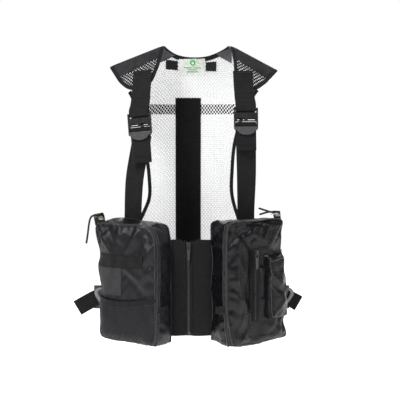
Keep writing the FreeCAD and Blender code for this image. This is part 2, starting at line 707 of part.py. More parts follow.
def edge_slider(label, frame):
    """A slider body over a raised coil: a channel below and a bridge with an eye above."""
    made = body(label)
    pad(made, label + "_block", "XZ",
        [("-6.5", "0.5"), ("6.5", "0.5"), ("6", "4.4"), ("-6", "4.4")], "9", "-4.5")
    pocket(made, label + "_channel", "XZ",
           [("-9", "0"), ("9", "0"), ("9", "2.1"), ("-9", "2.1")], "5.2", "-2.6")
    pad(made, label + "_crown", "XZ",
        [("-4", "4.2"), ("4", "4.2"), ("3.4", "8.2"), ("-3.4", "8.2")], "3", "-1.5")
    pocket(made, label + "_eye", "XZ",
           [("-2.4", "4.9"), ("2.4", "4.9"), ("2.2", "7.2"), ("-2.2", "7.2")], "10", "-5")
    made.Placement = frame
    doc.recompute()
    return keep(made)


def edge_pull(label, frame, reach, sign):
    """A flat metal bow threaded through the slider's bridge."""
    made = body(label)
    a = "(%s)" % sign
    lift = "5.4"
    pad(made, label + "_bow", "XY",
        [(a + " * (-0.8)", "-4"), (a + " * (%s)" % reach, "-4"),
         (a + " * (%s)" % reach, "4"), (a + " * (-0.8)", "4")], "1.2", lift)
    pocket(made, label + "_gap", "XY",
           [(a + " * 0.6", "-2.4"), (a + " * (%s - 7)" % reach, "-2.4"),
            (a + " * (%s - 7)" % reach, "2.4"), (a + " * 0.6", "2.4")], "10", "0")
    made.Placement = frame
    doc.recompute()
    return keep(made)


def cord(label, frame, route):
    """A round cord: straight runs joined by arcs, with a disc swept along it."""
    spots = [frame.multVec(V(*item)) for item in route]
    edges = []
    start = spots[0]
    for i in range(1, len(spots) - 1):
        before = spots[i - 1] - spots[i]
        after = spots[i + 1] - spots[i]
        short = min(before.Length, after.Length)
        turn = math.pi - before.getAngle(after)
        radius = 0.45 * short / math.tan(turn / 2)
        cut = 0.45 * short
        a = spots[i] + before.normalize() * cut
        b = spots[i] + after.normalize() * cut
        bisector = (a + b) * 0.5 - spots[i]
        reach = math.hypot(radius, cut)
        middle = spots[i] + bisector.normalize() * (reach - radius)
        edges.append(Part.LineSegment(start, a).toShape())
        edges.append(Part.Arc(a, middle, b).toShape())
        print(label, "bend radius", round(radius, 2))
        start = b
    edges.append(Part.LineSegment(start, spots[-1]).toShape())
    wire = Part.Wire(edges)
    length = wire.Length
    thick = value("cord_thick")
    ring = Part.Wire([Part.makeCircle(thick / 2, spots[0], spots[1] - spots[0])])
    solid = wire.makePipeShell([ring], True, False, 2)
    made = doc.addObject("Part::Feature", label)
    made.Label = label
    made.Shape = solid
    print(label, "length", round(length, 1), "volume ratio",
          round(solid.Volume / (math.pi * thick * thick / 4 * length), 4))
    return keep(made)


left_frame = top_frame("left", "-1", 150.0)
edge_slider("left_pouch_slider", left_frame)
edge_pull("left_pouch_pull", left_frame, "19", "-1")
cord("left_pull_cord", left_frame,
     [(-15, 1, 9.2), (-18, -8, 9.6), (-19, -19, 6), (-22, -20.5, -13), (-23.5, -20.5, -33),
      (-27, -20.5, -56)])
right_frame = top_frame("right", "1", 139.0)
edge_slider("right_pouch_slider", right_frame)
edge_pull("right_pouch_pull", right_frame, "15", "-1")
cord("right_pull_cord", right_frame,
     [(-43, 9, 21), (-25, 5.5, 14.5), (-9.5, 4.8, 9.6), (-9.2, -5.6, 9.6), (-20, -7, 12.5),
      (-34, -9.5, 12), (-56, -15, 8.8)])


# ------------------------------------------------------------------ pocket slider
def pocket_frame():
    turn = value("pouch_turn")
    spin = FreeCAD.Rotation(V(0, 0, 1), turn)
    spot = V(74, value("-pouch_deep - gap - tape_thick"), -500)
    base = V(value("right_pouch_x"), value("front_y"), 0) + spin.multVec(spot)
    return FreeCAD.Placement(base, spin)


upright = pocket_frame()
small_slider = body("pocket_slider")
pad(small_slider, "pocket_block", "YZ",
    [("-0.5", "-6"), ("-0.5", "6"), ("-4.4", "5.5"), ("-4.4", "-5.5")], "9", "-4.5")
pocket(small_slider, "pocket_channel", "YZ",
       [("0", "-9"), ("0", "9"), ("-2.1", "9"), ("-2.1", "-9")], "5.2", "-2.6")
pad(small_slider, "pocket_crown", "YZ",
    [("-4.2", "-4"), ("-4.2", "4"), ("-8.2", "3.4"), ("-8.2", "-3.4")], "3", "-1.5")
pocket(small_slider, "pocket_eye", "YZ",
       [("-4.9", "-2.4"), ("-4.9", "2.4"), ("-7.2", "2.2"), ("-7.2", "-2.2")], "10", "-5")
small_slider.Placement = upright
keep(small_slider)

small_pull = body("pocket_pull")
pad(small_pull, "pocket_bow", "XZ",
    [("-4", "1"), ("4", "1"), ("4", "-14"), ("3", "-38"), ("-3", "-38"), ("-4", "-14")],
    "1.2", "5.4")
pocket(small_pull, "pocket_gap", "XZ",
       [("-2.4", "-0.6"), ("2.4", "-0.6"), ("2.4", "-12"), ("-2.4", "-12")], "10", "0")
small_pull.Placement = upright
keep(small_pull)

# ------------------------------------------------------------------ check and write
doc.recompute()
trouble = []
for item in doc.Objects:
    if "Invalid" in item.State or "Error" in item.State:
        trouble.append("%s %s" % (item.Label, item.State))
for item in EXPORTS:
    shape = item.Shape
    if shape.isNull() or not shape.isValid() or shape.Volume < 1.0:
        trouble.append("%s shape" % item.Label)
    print("%-22s solids %d volume %9.0f box %s" % (
        item.Label, len(shape.Solids), shape.Volume,
        " ".join("%.1f" % number for number in (
            shape.BoundBox.XMin, shape.BoundBox.XMax, shape.BoundBox.YMin,
            shape.BoundBox.YMax, shape.BoundBox.ZMin, shape.BoundBox.ZMax))))
print("pieces", len(EXPORTS))
if trouble:
    raise SystemExit("trouble: " + "; ".join(trouble))
os.makedirs("parts", exist_ok=True)
for item in EXPORTS:
    item.Shape.exportStep("parts/%s.step" % item.Label)
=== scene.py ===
import math

import bmesh
import bpy
import numpy as np
from mathutils import Matrix, Vector, noise
from mathutils.bvhtree import BVHTree
from mathutils.geometry import delaunay_2d_cdt


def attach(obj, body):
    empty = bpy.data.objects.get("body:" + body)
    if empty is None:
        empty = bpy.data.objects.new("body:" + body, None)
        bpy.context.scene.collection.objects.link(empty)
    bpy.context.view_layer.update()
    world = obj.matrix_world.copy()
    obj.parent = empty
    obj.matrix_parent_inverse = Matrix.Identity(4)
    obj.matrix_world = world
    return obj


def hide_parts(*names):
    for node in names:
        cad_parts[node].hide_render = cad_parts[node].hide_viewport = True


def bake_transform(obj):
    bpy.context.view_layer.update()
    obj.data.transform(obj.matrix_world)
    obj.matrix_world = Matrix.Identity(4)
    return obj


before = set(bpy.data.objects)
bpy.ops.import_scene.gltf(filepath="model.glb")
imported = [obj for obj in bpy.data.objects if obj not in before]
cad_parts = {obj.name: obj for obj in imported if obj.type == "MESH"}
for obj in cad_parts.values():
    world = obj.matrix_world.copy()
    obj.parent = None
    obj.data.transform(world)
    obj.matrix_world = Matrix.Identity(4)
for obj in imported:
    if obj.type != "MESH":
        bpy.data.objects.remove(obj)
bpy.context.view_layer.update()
scene = bpy.context.scene
MM = 0.001
COS27, SIN27 = math.cos(math.radians(27)), math.sin(math.radians(27))


# ---------------------------------------------------------------- camera, light and floor
def aim(name, data, place, target):
    """Puts a camera or a light at a place, looking at the target."""
    obj = bpy.data.objects.new(name, data)
    scene.collection.objects.link(obj)
    obj.location = place
    obj.rotation_euler = (Vector(target) - Vector(place)).to_track_quat("-Z", "Y").to_euler()
    return obj


DISTANCE, MIDDLE = 1.7, -0.385
pitch = math.radians(2)
camera = aim("camera", bpy.data.cameras.new("camera"),
             (0, -DISTANCE * math.cos(pitch), MIDDLE + DISTANCE * math.sin(pitch)),
             (0, 0, MIDDLE))
camera.data.sensor_width = 36
camera.data.lens = 61.2
camera.data.shift_x = 0.02
scene.camera = camera
scene.view_settings.view_transform = "Standard"

# the camera sees a white backdrop, and a dimmer sky lights the vest
WORLD_LIGHT = 0.24
world = bpy.data.worlds.new("studio")
scene.world = world
world.use_nodes = True
nodes = world.node_tree.nodes
links = world.node_tree.links
backdrop = nodes["Background"]
dim = nodes.new("ShaderNodeBackground")
for background in (backdrop, dim):
    background.inputs["Color"].default_value = (1, 1, 1, 1)
dim.inputs["Strength"].default_value = WORLD_LIGHT
seen_by = nodes.new("ShaderNodeLightPath")
blend_sky = nodes.new("ShaderNodeMixShader")
links.new(seen_by.outputs["Is Camera Ray"], blend_sky.inputs[0])
links.new(dim.outputs[0], blend_sky.inputs[1])
links.new(backdrop.outputs[0], blend_sky.inputs[2])
links.new(blend_sky.outputs[0], nodes["World Output"].inputs["Surface"])


def area_light(name, place, target, size, power):
    light = bpy.data.lights.new(name, "AREA")
    light.shape = "RECTANGLE"
    light.size, light.size_y = size
    light.energy = power
    aim(name, light, place, target)


area_light("key", (-0.7, -1.0, 0.95), (0, -0.05, -0.45), (0.4, 0.5), 42)
area_light("fill", (1.5, -0.9, 0.1), (0, -0.05, -0.45), (0.25, 1.0), 10)
area_light("back", (0.3, 1.7, 0.6), (0, 0, -0.35), (1.2, 0.8), 16)


# ---------------------------------------------------------------- materials
class Finish:
    """One procedural material, built up node by node."""

    def __init__(self, name, colour, rough, spec=0.5, sheen=0.0, metal=0.0, coat=0.0):
        self.mat = bpy.data.materials.new(name)
        self.mat.use_nodes = True
        self.tree = self.mat.node_tree
        self.shader = self.tree.nodes["Principled BSDF"]
        self.set("Base Color", (*colour, 1))
        self.set("Roughness", rough)
        self.set("Specular IOR Level", spec)
        self.set("Sheen Weight", sheen)
        self.set("Sheen Roughness", 0.4)
        self.set("Metallic", metal)
        self.set("Coat Weight", coat)
        self.colour = colour
        self.place = None

    def set(self, socket, value):
        self.shader.inputs[socket].default_value = value

    def add(self, kind):
        return self.tree.nodes.new("ShaderNode" + kind)

    def join(self, value, socket):
        if isinstance(value, (int, float, tuple)):
            socket.default_value = value
        else:
            self.tree.links.new(value, socket)

    def calc(self, operation, a, b=0.0, c=0.0):
        node = self.add("Math")
        node.operation = operation
        for value, socket in zip((a, b, c), node.inputs):
            self.join(value, socket)
        return node.outputs[0]

    def spots(self, kind):
        """The coordinates in metres: UV laid flat on the cloth, or the object's own."""
        node = self.add("TexCoord")
        self.place = node.outputs[kind]
        split = self.add("SeparateXYZ")
        self.join(self.place, split.inputs[0])
        return split.outputs

    def wave(self, value, period):
        return self.calc("SINE", self.calc("MULTIPLY", value, 2 * math.pi / period))

    def noise(self, scale, detail=3.0, rough=0.6):
        node = self.add("TexNoise")
        node.inputs["Scale"].default_value = scale
        node.inputs["Detail"].default_value = detail
        node.inputs["Roughness"].default_value = rough
        self.join(self.place, node.inputs["Vector"])
        return node.outputs["Fac"]

    def remap(self, value, low, high, to_low=0.0, to_high=1.0):
        node = self.add("MapRange")
        node.clamp = True
        for number, item in enumerate((value, low, high, to_low, to_high)):
            self.join(item, node.inputs[number])
        return node.outputs[0]

    def tint(self, factor, other):
        """Mixes the colour so far towards another one."""
        node = self.add("Mix")
        node.data_type = "RGBA"
        self.join(factor, node.inputs[0])
        socket = self.shader.inputs["Base Color"]
        if socket.links:
            self.join(socket.links[0].from_socket, node.inputs[6])
        else:
            node.inputs[6].default_value = (*self.colour, 1)
        node.inputs[7].default_value = (*other, 1)
        self.join(node.outputs[2], socket)

    def roughen(self, value, low, high):
        self.join(self.remap(value, 0.3, 0.7, low, high), self.shader.inputs["Roughness"])

    def bump(self, height, distance, strength=1.0):
        node = self.add("Bump")
        node.inputs["Strength"].default_value = strength
        node.inputs["Distance"].default_value = distance
        self.join(height, node.inputs["Height"])
        if self.shader.inputs["Normal"].links:
            self.join(self.shader.inputs["Normal"].links[0].from_socket, node.inputs["Normal"])
        self.join(node.outputs[0], self.shader.inputs["Normal"])

    def netting(self, across, down, cutoff, colour):
        """Diamond holes in a knitted net, with painted shade: the thread colour darkens towards the
        holes.
        """
        a, b, _ = self.spots("UV")
        a = self.calc("MULTIPLY", a, math.pi / across)
        b = self.calc("MULTIPLY", b, math.pi / down)
        drift = self.calc("MULTIPLY_ADD", self.noise(22, 1), 0.6, -0.3)
        up = self.calc("SINE", self.calc("ADD", self.calc("ADD", a, b), drift))
        fall = self.calc("SINE", self.calc("SUBTRACT", a, b))
        gap = self.calc("ABSOLUTE", self.calc("MULTIPLY", up, fall))
        self.join(self.remap(gap, cutoff, cutoff + 0.12, 1.0, 0.0), self.shader.inputs["Alpha"])
        # painted shade: the thread colour darkens towards each hole
        self.tint(self.remap(gap, 0.1, cutoff, 0.0, 0.8), colour)
        self.bump(self.remap(gap, 0.0, cutoff, 1.0, 0.0), 0.0006)


def woven(name, colour, light, rough, rib, sheen=0.03, spec=0.16, depth=0.0003, kind="UV",
          along=0.0011, wear=0.5):
    """Webbing, tape or twill: ribs across, threads along, worn pale in patches, with painted light
    and shade on the weave, paler on its raised threads and darker in its valleys.
    """
    made = Finish(name, colour, rough, spec, sheen)
    a, b, c = made.spots(kind)
    if kind == "Object":
        across = made.calc("ADD", a, b)
        b = made.calc("ADD", c, b)
    else:
        across = a
    ribs = made.wave(across, rib)
    thread = made.wave(b, along)
    weave = made.calc("MULTIPLY", ribs, thread)
    fade = made.noise(28, 4)
    made.tint(made.remap(fade, 0.35, 0.75, 0.0, wear), light)
    # painted light and shade: the raised threads of the weave paler, its valleys darker
    made.tint(made.remap(weave, 0.2, 1.0, 0.0, 0.35), light)
    made.roughen(made.noise(90, 2), rough - 0.08, min(rough + 0.08, 1.0))
    made.bump(made.calc("ADD", made.calc("MULTIPLY", ribs, 0.7), weave), depth)
    return made


def moulded(name, colour, light, rough=0.28, metal=0.0, coat=0.0, grain=0.00004):
    made = Finish(name, colour, rough, 0.5, 0.0, metal, coat)
    made.spots("Object")
    scuff = made.noise(160, 5, 0.7)
    made.tint(made.remap(scuff, 0.5, 0.8, 0.0, 0.5), light)
    made.roughen(made.noise(60, 3), rough - 0.06, rough + 0.12)
    made.bump(made.noise(900, 2), grain)
    return made


white_net = Finish("white_net", (0.93, 0.94, 0.95), 0.75, 0.3, 0.1)
# painted shade: the white threads turn grey towards the holes
white_net.netting(0.0077, 0.0103, 0.28, (0.24, 0.24, 0.255))
black_net = Finish("black_net", (0.007, 0.007, 0.0075), 0.6, 0.16)
# painted shade: the black threads darken further towards the holes
black_net.netting(0.0072, 0.0092, 0.50, (0.004, 0.004, 0.005))
# the threads' grey is partly the net's own colour and partly painted highlight for the light they
# catch; painted shade darkens them towards the holes
pocket_net = Finish("pocket_net", (0.026, 0.026, 0.032), 0.5, 0.2)
pocket_net.netting(0.0066, 0.0078, 0.36, (0.008, 0.008, 0.009))
knit = woven("knit", (0.0055, 0.0055, 0.006), (0.04, 0.04, 0.045), 0.6, 0.0052, 0.05,
             along=0.0046, depth=0.0006)
satin = woven("satin", (0.045, 0.045, 0.052), (0.10, 0.10, 0.115), 0.34, 0.0012, 0.1, 0.6)
webbing = woven("webbing", (0.0048, 0.0048, 0.0052), (0.012, 0.012, 0.013), 0.6, 0.0024, 0.04,
                along=0.0016, depth=0.0004)
tape = woven("tape", (0.0038, 0.0038, 0.004), (0.011, 0.011, 0.012), 0.6, 0.0016, 0.04,
             depth=0.0003)
loop_band = woven("loop_band", (0.0035, 0.0035, 0.004), (0.009, 0.009, 0.0095), 0.85, 0.0019,
                  0.03, 0.15, wear=0.3)
hook_patch = woven("hook_patch", (0.008, 0.008, 0.009), (0.03, 0.03, 0.033), 0.6, 0.0016, 0.05,
                   along=0.0016, depth=0.0005)
elastic = woven("elastic", (0.0058, 0.0058, 0.0064), (0.011, 0.011, 0.012), 0.6, 0.0031, 0.05,
                along=0.0022, depth=0.00035)
zip_tape = woven("zip_tape", (0.006, 0.006, 0.007), (0.018, 0.018, 0.021), 0.5, 0.0013, 0.05)
loop_patch = woven("loop_patch", (0.026, 0.026, 0.028), (0.040, 0.040, 0.042), 0.85, 0.0015,
                   0.1, 0.2, wear=0.4)
thread = woven("thread", (0.10, 0.10, 0.11), (0.2, 0.2, 0.21), 0.6, 0.0006, 0.0)
dark_thread = woven("dark_thread", (0.02, 0.02, 0.022), (0.06, 0.06, 0.065), 0.5, 0.0006, 0.0)
cord_skin = woven("cord_skin", (0.006, 0.006, 0.0065), (0.03, 0.03, 0.033), 0.6, 0.0022, 0.05,
                  kind="Object", along=0.0022, depth=0.0005)
teeth = moulded("teeth", (0.016, 0.016, 0.017), (0.06, 0.06, 0.06), 0.3)
left_nylon = woven("left_nylon", (0.0045, 0.0045, 0.006), (0.009, 0.009, 0.012), 0.36, 0.0014,
                   0.0, 0.26, kind="Object", along=0.0014, depth=0.00006, wear=0.3)
right_nylon = woven("right_nylon", (0.0030, 0.0030, 0.0038), (0.006, 0.006, 0.0075), 0.22, 0.0014,
                    0.0, 0.24, kind="Object", along=0.0014, depth=0.00005, wear=0.3)
lining = woven("lining", (0.22, 0.22, 0.235), (0.34, 0.34, 0.36), 0.5, 0.0015, 0.1)
label_white = woven("label_white", (0.76, 0.81, 0.74), (0.88, 0.91, 0.86), 0.7, 0.0009, 0.1)
green = woven("green", (0.02, 0.48, 0.04), (0.06, 0.6, 0.08), 0.6, 0.0009, 0.0)
trim = woven("trim", (0.013, 0.013, 0.016), (0.032, 0.032, 0.038), 0.35, 0.0012, 0.05, 0.6)
NYLON = {"left": left_nylon, "right": right_nylon}
for nylon in NYLON.values():
    crease = nylon.noise(20, 2, 0.5)
    nylon.bump(nylon.remap(crease, 0.3, 0.75, 0.0, 1.0), 0.0012, 0.7)

black_plastic = moulded("black_plastic", (0.012, 0.012, 0.013), (0.04, 0.04, 0.042), 0.26)
enamel = moulded("enamel", (0.012, 0.012, 0.012), (0.12, 0.12, 0.12), 0.3, 0.0, 0.3)
steel = moulded("steel", (0.62, 0.56, 0.47), (0.8, 0.72, 0.6), 0.25, 1.0)
nickel = moulded("nickel", (0.16, 0.15, 0.14), (0.5, 0.46, 0.4), 0.3, 1.0)


def dress(name, finish):
    """Gives a kept CAD node its finish."""
    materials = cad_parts[name].data.materials
    materials.clear()
    materials.append(finish.mat)


def buckle_matrix(side):
    x, z, turn, lean = (-125, -181, -16, -4.3) if side == "left" else (127, -168.5, 4, -0.8)
    return (Matrix.Translation(Vector((x, -88, z)) * MM)
            @ Matrix.Rotation(math.radians(turn), 4, "Z")
            @ Matrix.Rotation(math.radians(lean), 4, "Y"))


def buckle_finish(side):
    """Black moulding whose half-moon tab is a paler grey."""
    made = moulded(side + "_buckle_plastic", (0.012, 0.012, 0.013), (0.04, 0.04, 0.042), 0.22)
    turned = made.add("VectorMath")
    turned.operation = "DOT_PRODUCT"
    down = buckle_matrix(side).to_3x3() @ Vector((0, 0, 1))
    made.join(made.place, turned.inputs[0])
    turned.inputs[1].default_value = down
    start = buckle_matrix(side).translation.dot(down)
    made.tint(made.remap(turned.outputs["Value"], start - 0.0405, start - 0.0395, 1.0, 0.0),
              (0.05, 0.05, 0.054))
    return made


# ---------------------------------------------------------------- mesh helpers
def spline_point(a, b, c, d, t):
    """A point between b and c on the smooth curve through all four."""
    return 0.5 * (2 * b + (c - a) * t + (2 * a - 5 * b + 4 * c - d) * t * t
                  + (3 * b - a - 3 * c + d) * t * t * t)


def way_at(line, i):
    """The direction of a line at one of its points."""
    return line[min(i + 1, len(line) - 1)] - line[max(i - 1, 0)]


def curve_through(points, step, closed=False):
    """A smooth curve through the points, sampled about one step apart."""
    pts = [Vector(p) for p in points]
    count = len(pts)
    out = []
    for i in range(count if closed else count - 1):
        if closed:
            a, b, c, d = pts[i - 1], pts[i], pts[(i + 1) % count], pts[(i + 2) % count]
        else:
            a, b, c, d = pts[max(i - 1, 0)], pts[i], pts[i + 1], pts[min(i + 2, count - 1)]
        parts = max(1, round((c - b).length / step))
        for k in range(parts):
            out.append(spline_point(a, b, c, d, k / parts))
    if not closed:
        out.append(pts[-1].copy())
    return out


def straight(points, step, closed=False):
    """Points along straight runs, keeping every corner."""
    pts = [Vector(p) for p in points]
    out = []
    pairs = list(zip(pts, pts[1:] + pts[:1])) if closed else list(zip(pts, pts[1:]))
    for a, b in pairs:
        parts = max(1, round((b - a).length / step))
        out += [a.lerp(b, k / parts) for k in range(parts)]
    if not closed:
        out.append(pts[-1].copy())
    return out


def make(name, verts, faces, uvs, material, body, nodes=(), slot=None, closed=True,
         sharp=55):
    mesh = bpy.data.meshes.new(name)
    mesh.from_pydata([tuple(v) for v in verts], [], faces)
    if closed:
        work = bmesh.new()
        work.from_mesh(mesh)
        bmesh.ops.recalc_face_normals(work, faces=work.faces)
        work.to_mesh(mesh)
        work.free()
    layer = mesh.uv_layers.new(name="UVMap")
    if uvs is not None:
        for loop in mesh.loops:
            layer.data[loop.index].uv = uvs[loop.vertex_index]
    mesh.polygons.foreach_set("use_smooth", [True] * len(mesh.polygons))
    if sharp:
        mesh.set_sharp_from_angle(angle=math.radians(sharp))
    mesh.materials.append(material.mat)
    obj = bpy.data.objects.new(name, mesh)
    scene.collection.objects.link(obj)
    if body:
        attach(obj, body)
    if nodes:
        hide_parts(*nodes)
    slot or nodes[0]
    return obj


def ribbon(name, spots, across, wide, thick, material, body, nodes=(), slot=None, columns=6,
           spans=None, closed=False, push=None):
    """A flat strap along spots (mm) with rounded edges."""
    verts, uvs, faces = [], [], []
    run = 0.0
    half = thick / 2
    count = len(spots)
    size = 2 * (columns + 1) + 2
    for i, spot in enumerate(spots):
        before = spots[i - 1] if (i or closed) else spots[i]
        after = spots[(i + 1) % count] if (i < count - 1 or closed) else spots[i]
        side = Vector(across[i]).normalized()
        normal = (after - before).cross(side).normalized()
        low, high = spans[i] if spans else (-wide / 2, wide / 2)
        edge = min(half * 0.8, 0.6)
        line = [low + edge + (high - low - 2 * edge) * j / columns for j in range(columns + 1)]
        ring = [(c, half) for c in line] + [(high, 0)] + [(c, -half) for c in line[::-1]]
        ring.append((low, 0))
        for number, (c, h) in enumerate(ring):
            bulge = push(i, c) if push else 0.0
            verts.append((spot + side * c + normal * (h + bulge)) * MM)
            uvs.append((c * MM, run * MM))
        if i < count - 1:
            run += (spots[i + 1] - spot).length
    steps = count if closed else count - 1
    for i in range(steps):
        a, b = i * size, ((i + 1) % count) * size
        for j in range(size):
            k = (j + 1) % size
            faces.append((a + j, a + k, b + k, b + j))
    if not closed:
        for start in (0, (count - 1) * size):
            for j in range(columns):
                faces.append((start + j, start + j + 1, start + size - 3 - j, start + size - 2 - j))
            faces.append((start, start + size - 2, start + size - 1))
            faces.append((start + columns, start + columns + 1, start + columns + 2))
    return make(name, verts, faces, uvs, material, body, nodes, slot)


def tube(name, spots, radius, material, body, nodes=(), slot=None, sides=8, closed=False,
         swell=None):
    """A round bead along spots (mm)."""
    verts, uvs, faces = [], [], []
    count = len(spots)
    up = Vector((0.31, 0.52, 0.8))
    run = 0.0
    for i, spot in enumerate(spots):
        before = spots[i - 1] if (i or closed) else spots[i]
        after = spots[(i + 1) % count] if (i < count - 1 or closed) else spots[i]
        way = (after - before).normalized()
        up = (up - way * up.dot(way)).normalized()
        side = way.cross(up)
        wide = radius * (swell(i / (count - 1)) if swell else 1.0)
        for j in range(sides):
            turn = 2 * math.pi * j / sides
            verts.append((spot + (up * math.cos(turn) + side * math.sin(turn)) * wide) * MM)
            uvs.append((radius * turn * MM, run * MM))
        if i < count - 1:
            run += (spots[i + 1] - spot).length
    for i in range(count if closed else count - 1):
        a, b = i * sides, ((i + 1) % count) * sides
        for j in range(sides):
            k = (j + 1) % sides
            faces.append((a + j, a + k, b + k, b + j))
    if not closed:
        faces.append(tuple(range(sides)))
        faces.append(tuple(range((count - 1) * sides, count * sides)))
    return make(name, verts, faces, uvs, material, body, nodes, slot)


def stitches(name, spots, normals, material, body, slot, long=2.6, pitch=4.0, wide=0.45,
             lift=0.25):
    """A row of thread stitches along spots (mm)."""
    runs = [0.0]
    for a, b in zip(spots, spots[1:]):
        runs.append(runs[-1] + (b - a).length)
    verts, faces = [], []
    table = np.array([list(p) for p in spots])
    facing = np.array([list(n) for n in normals])
    at = pitch / 2

    def sample(values, where):
        return Vector([float(np.interp(where, runs, values[:, k])) for k in range(3)])

    while at + long < runs[-1]:
        a, b = sample(table, at), sample(table, at + long)
        normal = sample(facing, at).normalized()
        way = (b - a).normalized()
        side = way.cross(normal).normalized()
        start = len(verts)
        middle = (a + b) / 2
        for spot in (a + normal * (lift - 0.5), a.lerp(b, 0.25) + normal * lift,
                     middle + normal * (lift + wide * 0.6), a.lerp(b, 0.75) + normal * lift,
                     b + normal * (lift - 0.5)):
            for c, h in ((-1, 0), (0, 0.8), (1, 0), (0, -0.8)):
                verts.append((spot + side * (c * wide) + normal * (h * wide)) * MM)
        for k in range(4):
            for j in range(4):
                m = (j + 1) % 4
                faces.append((start + 4 * k + j, start + 4 * k + m,
                              start + 4 * k + 4 + m, start + 4 * k + 4 + j))
        faces.append((start, start + 1, start + 2, start + 3))
        faces.append((start + 16, start + 17, start + 18, start + 19))
        at += pitch
    uvs = [(v[0], v[2]) for v in verts]
    return make(name, verts, faces, uvs, material, body, (), slot)


def fill(outline, step):
    """Even triangles inside a closed outline (mm)."""
    rim = [Vector(p[:2]) for p in outline]
    box = np.array([list(p) for p in rim])
    low, high = box.min(axis=0), box.max(axis=0)
    nx = int((high[0] - low[0]) / step) + 1
    ny = int((high[1] - low[1]) / (step * 0.87)) + 1
    grid = np.array([(low[0] + (i + 0.5 * (j % 2)) * step, low[1] + j * step * 0.87)
                     for j in range(ny + 1) for i in range(nx + 1)])
    inside = np.zeros(len(grid), bool)
    near = np.full(len(grid), 1e9)
    for a, b in zip(box, np.roll(box, -1, axis=0)):
        crosses = (a[1] > grid[:, 1]) != (b[1] > grid[:, 1])
        with np.errstate(divide="ignore", invalid="ignore"):
            where = a[0] + (grid[:, 1] - a[1]) / (b[1] - a[1]) * (b[0] - a[0])
        inside ^= crosses & (grid[:, 0] < where)
        way = b - a
        t = np.clip(((grid - a) @ way) / max(way @ way, 1e-9), 0, 1)
        near = np.minimum(near, np.linalg.norm(grid - a - t[:, None] * way, axis=1))
    inner = [Vector(p) for p in grid[inside & (near > 0.55 * step)]]
    edges = [(i, (i + 1) % len(rim)) for i in range(len(rim))]
    found = delaunay_2d_cdt(rim + inner, edges, [], 1, 1e-5)
    return [Vector(v) for v in found[0]], [tuple(f) for f in found[2]]


def flat_area(points, faces):
    return sum(abs((points[f[1]] - points[f[0]]).cross(points[f[2]] - points[f[0]])) / 2
               for f in faces) * MM * MM


def cloth(name, outline, surface, material, body, nodes=(), slot=None, step=7.0, lift=0.0,
          thick=0.8, held=None):
    """Cloth cut to an outline on a surface."""
    points, faces = fill(outline, step)
    count = len(points)
    verts = [surface(p.x, p.y, lift + thick / 2) for p in points]
    verts += [surface(p.x, p.y, lift - thick / 2) for p in points]
    uvs = [(p.x * MM, p.y * MM) for p in points] * 2
    seen = {}
    for face in faces:
        for a, b in zip(face, face[1:] + face[:1]):
            seen[(a, b)] = True
    solid = [f for f in faces] + [tuple(count + k for k in f[::-1]) for f in faces]
    solid += [(b, a, count + a, count + b) for a, b in seen if (b, a) not in seen]
    obj = make(name, verts, solid, uvs, material, body, nodes, slot)
    if held:
        flat = np.array([list(p) for p in points])
        flat_area(points, faces)
    return obj


def slab(name, place, columns, rows, low, high, material, body, nodes=(), slot=None,
         uv=None):
    """A thin piece over a grid: place(a, b, h) with a and b from 0 to 1, h in mm."""
    verts, uvs, faces = [], [], []
    wide = columns + 1
    layer = wide * (rows + 1)
    for level in (high, low):
        for j in range(rows + 1):
            for i in range(wide):
                a, b = i / columns, j / rows
                verts.append(place(a, b, level(a, b) if callable(level) else level))
                uvs.append(uv(a, b) if uv else (a * 0.1, b * 0.1))
    for j in range(rows):
        for i in range(columns):
            k = j * wide + i
            faces.append((k, k + 1, k + wide + 1, k + wide))
            faces.append((layer + k, layer + k + wide, layer + k + wide + 1, layer + k + 1))
    rim = ([i for i in range(columns)] + [columns + j * wide for j in range(rows)]
           + [layer - 1 - i for i in range(columns)] + [(rows - j) * wide for j in range(rows)])
    for k, m in zip(rim, rim[1:] + rim[:1]):
        faces.append((k, layer + k, layer + m, m))
    return make(name, verts, faces, uvs, material, body, nodes, slot)


# ---------------------------------------------------------------- shape of the back and yokes
def profile(points):
    """Depth below the ridge, distance from it and length along the cloth, as tables."""
    line = curve_through([(math.sqrt(t), y) for t, y in points], 0.1)
    t = np.maximum.accumulate(np.array([p[0] ** 2 for p in line]))
    y = np.array([p[1] for p in line])
    u = np.concatenate([[0], np.cumsum(np.hypot(np.diff(t), np.diff(y)))])
    return t, y, u


BACK = profile([(0, 0), (25, 35), (80, 65), (160, 84), (260, 89), (400, 86.5), (760, 86)])
FRONT = profile([(0, 0), (30, 25), (70, 45), (135, 57)])


def ramp(value, soft=20.0):
    if value < -soft:
        return 0.0
    return value if value > soft else (value + soft) ** 2 / (4 * soft)


def ridge(x):
    return -2.2 - 0.394 * ramp(-67 - x) - 0.533 * ramp(x - 94)


def along(table, x, z):
    return float(np.interp(ridge(x) - z, table[0], table[2]))


def on_back(x, u):
    t, y = np.interp(u, BACK[2], BACK[0]), np.interp(u, BACK[2], BACK[1])
    sway = noise.noise(Vector((x / 75, u / 110, 3.1))) * min(u / 60, 1.0) * 2.5
    return Vector((x, y + sway, ridge(x) - t))


def on_fold(x, w):
    """The yoke for w above 0, and the back for w below 0."""
    if w < 0:
        return on_back(x, -w)
    t, y = np.interp(w, FRONT[2], FRONT[0]), np.interp(w, FRONT[2], FRONT[1])
    sway = noise.noise(Vector((x / 45, w / 40, 7.7))) * min(w / 30, 1.0) * 1.6
    return Vector((x, -y + sway, ridge(x) - t))


def raised(base, outward):
    def surface(a, b, lift):
        normal = outward * (base(a + 1, b) - base(a - 1, b)).cross(base(a, b + 1) - base(a, b - 1))
        return (base(a, b) + normal.normalized() * lift) * MM
    return surface


back_face = raised(on_back, 1)
fold_face = raised(on_fold, -1)


def on_cloth(points, table):
    return [Vector((p[0], along(table, p[0], p[1]))) for p in points]


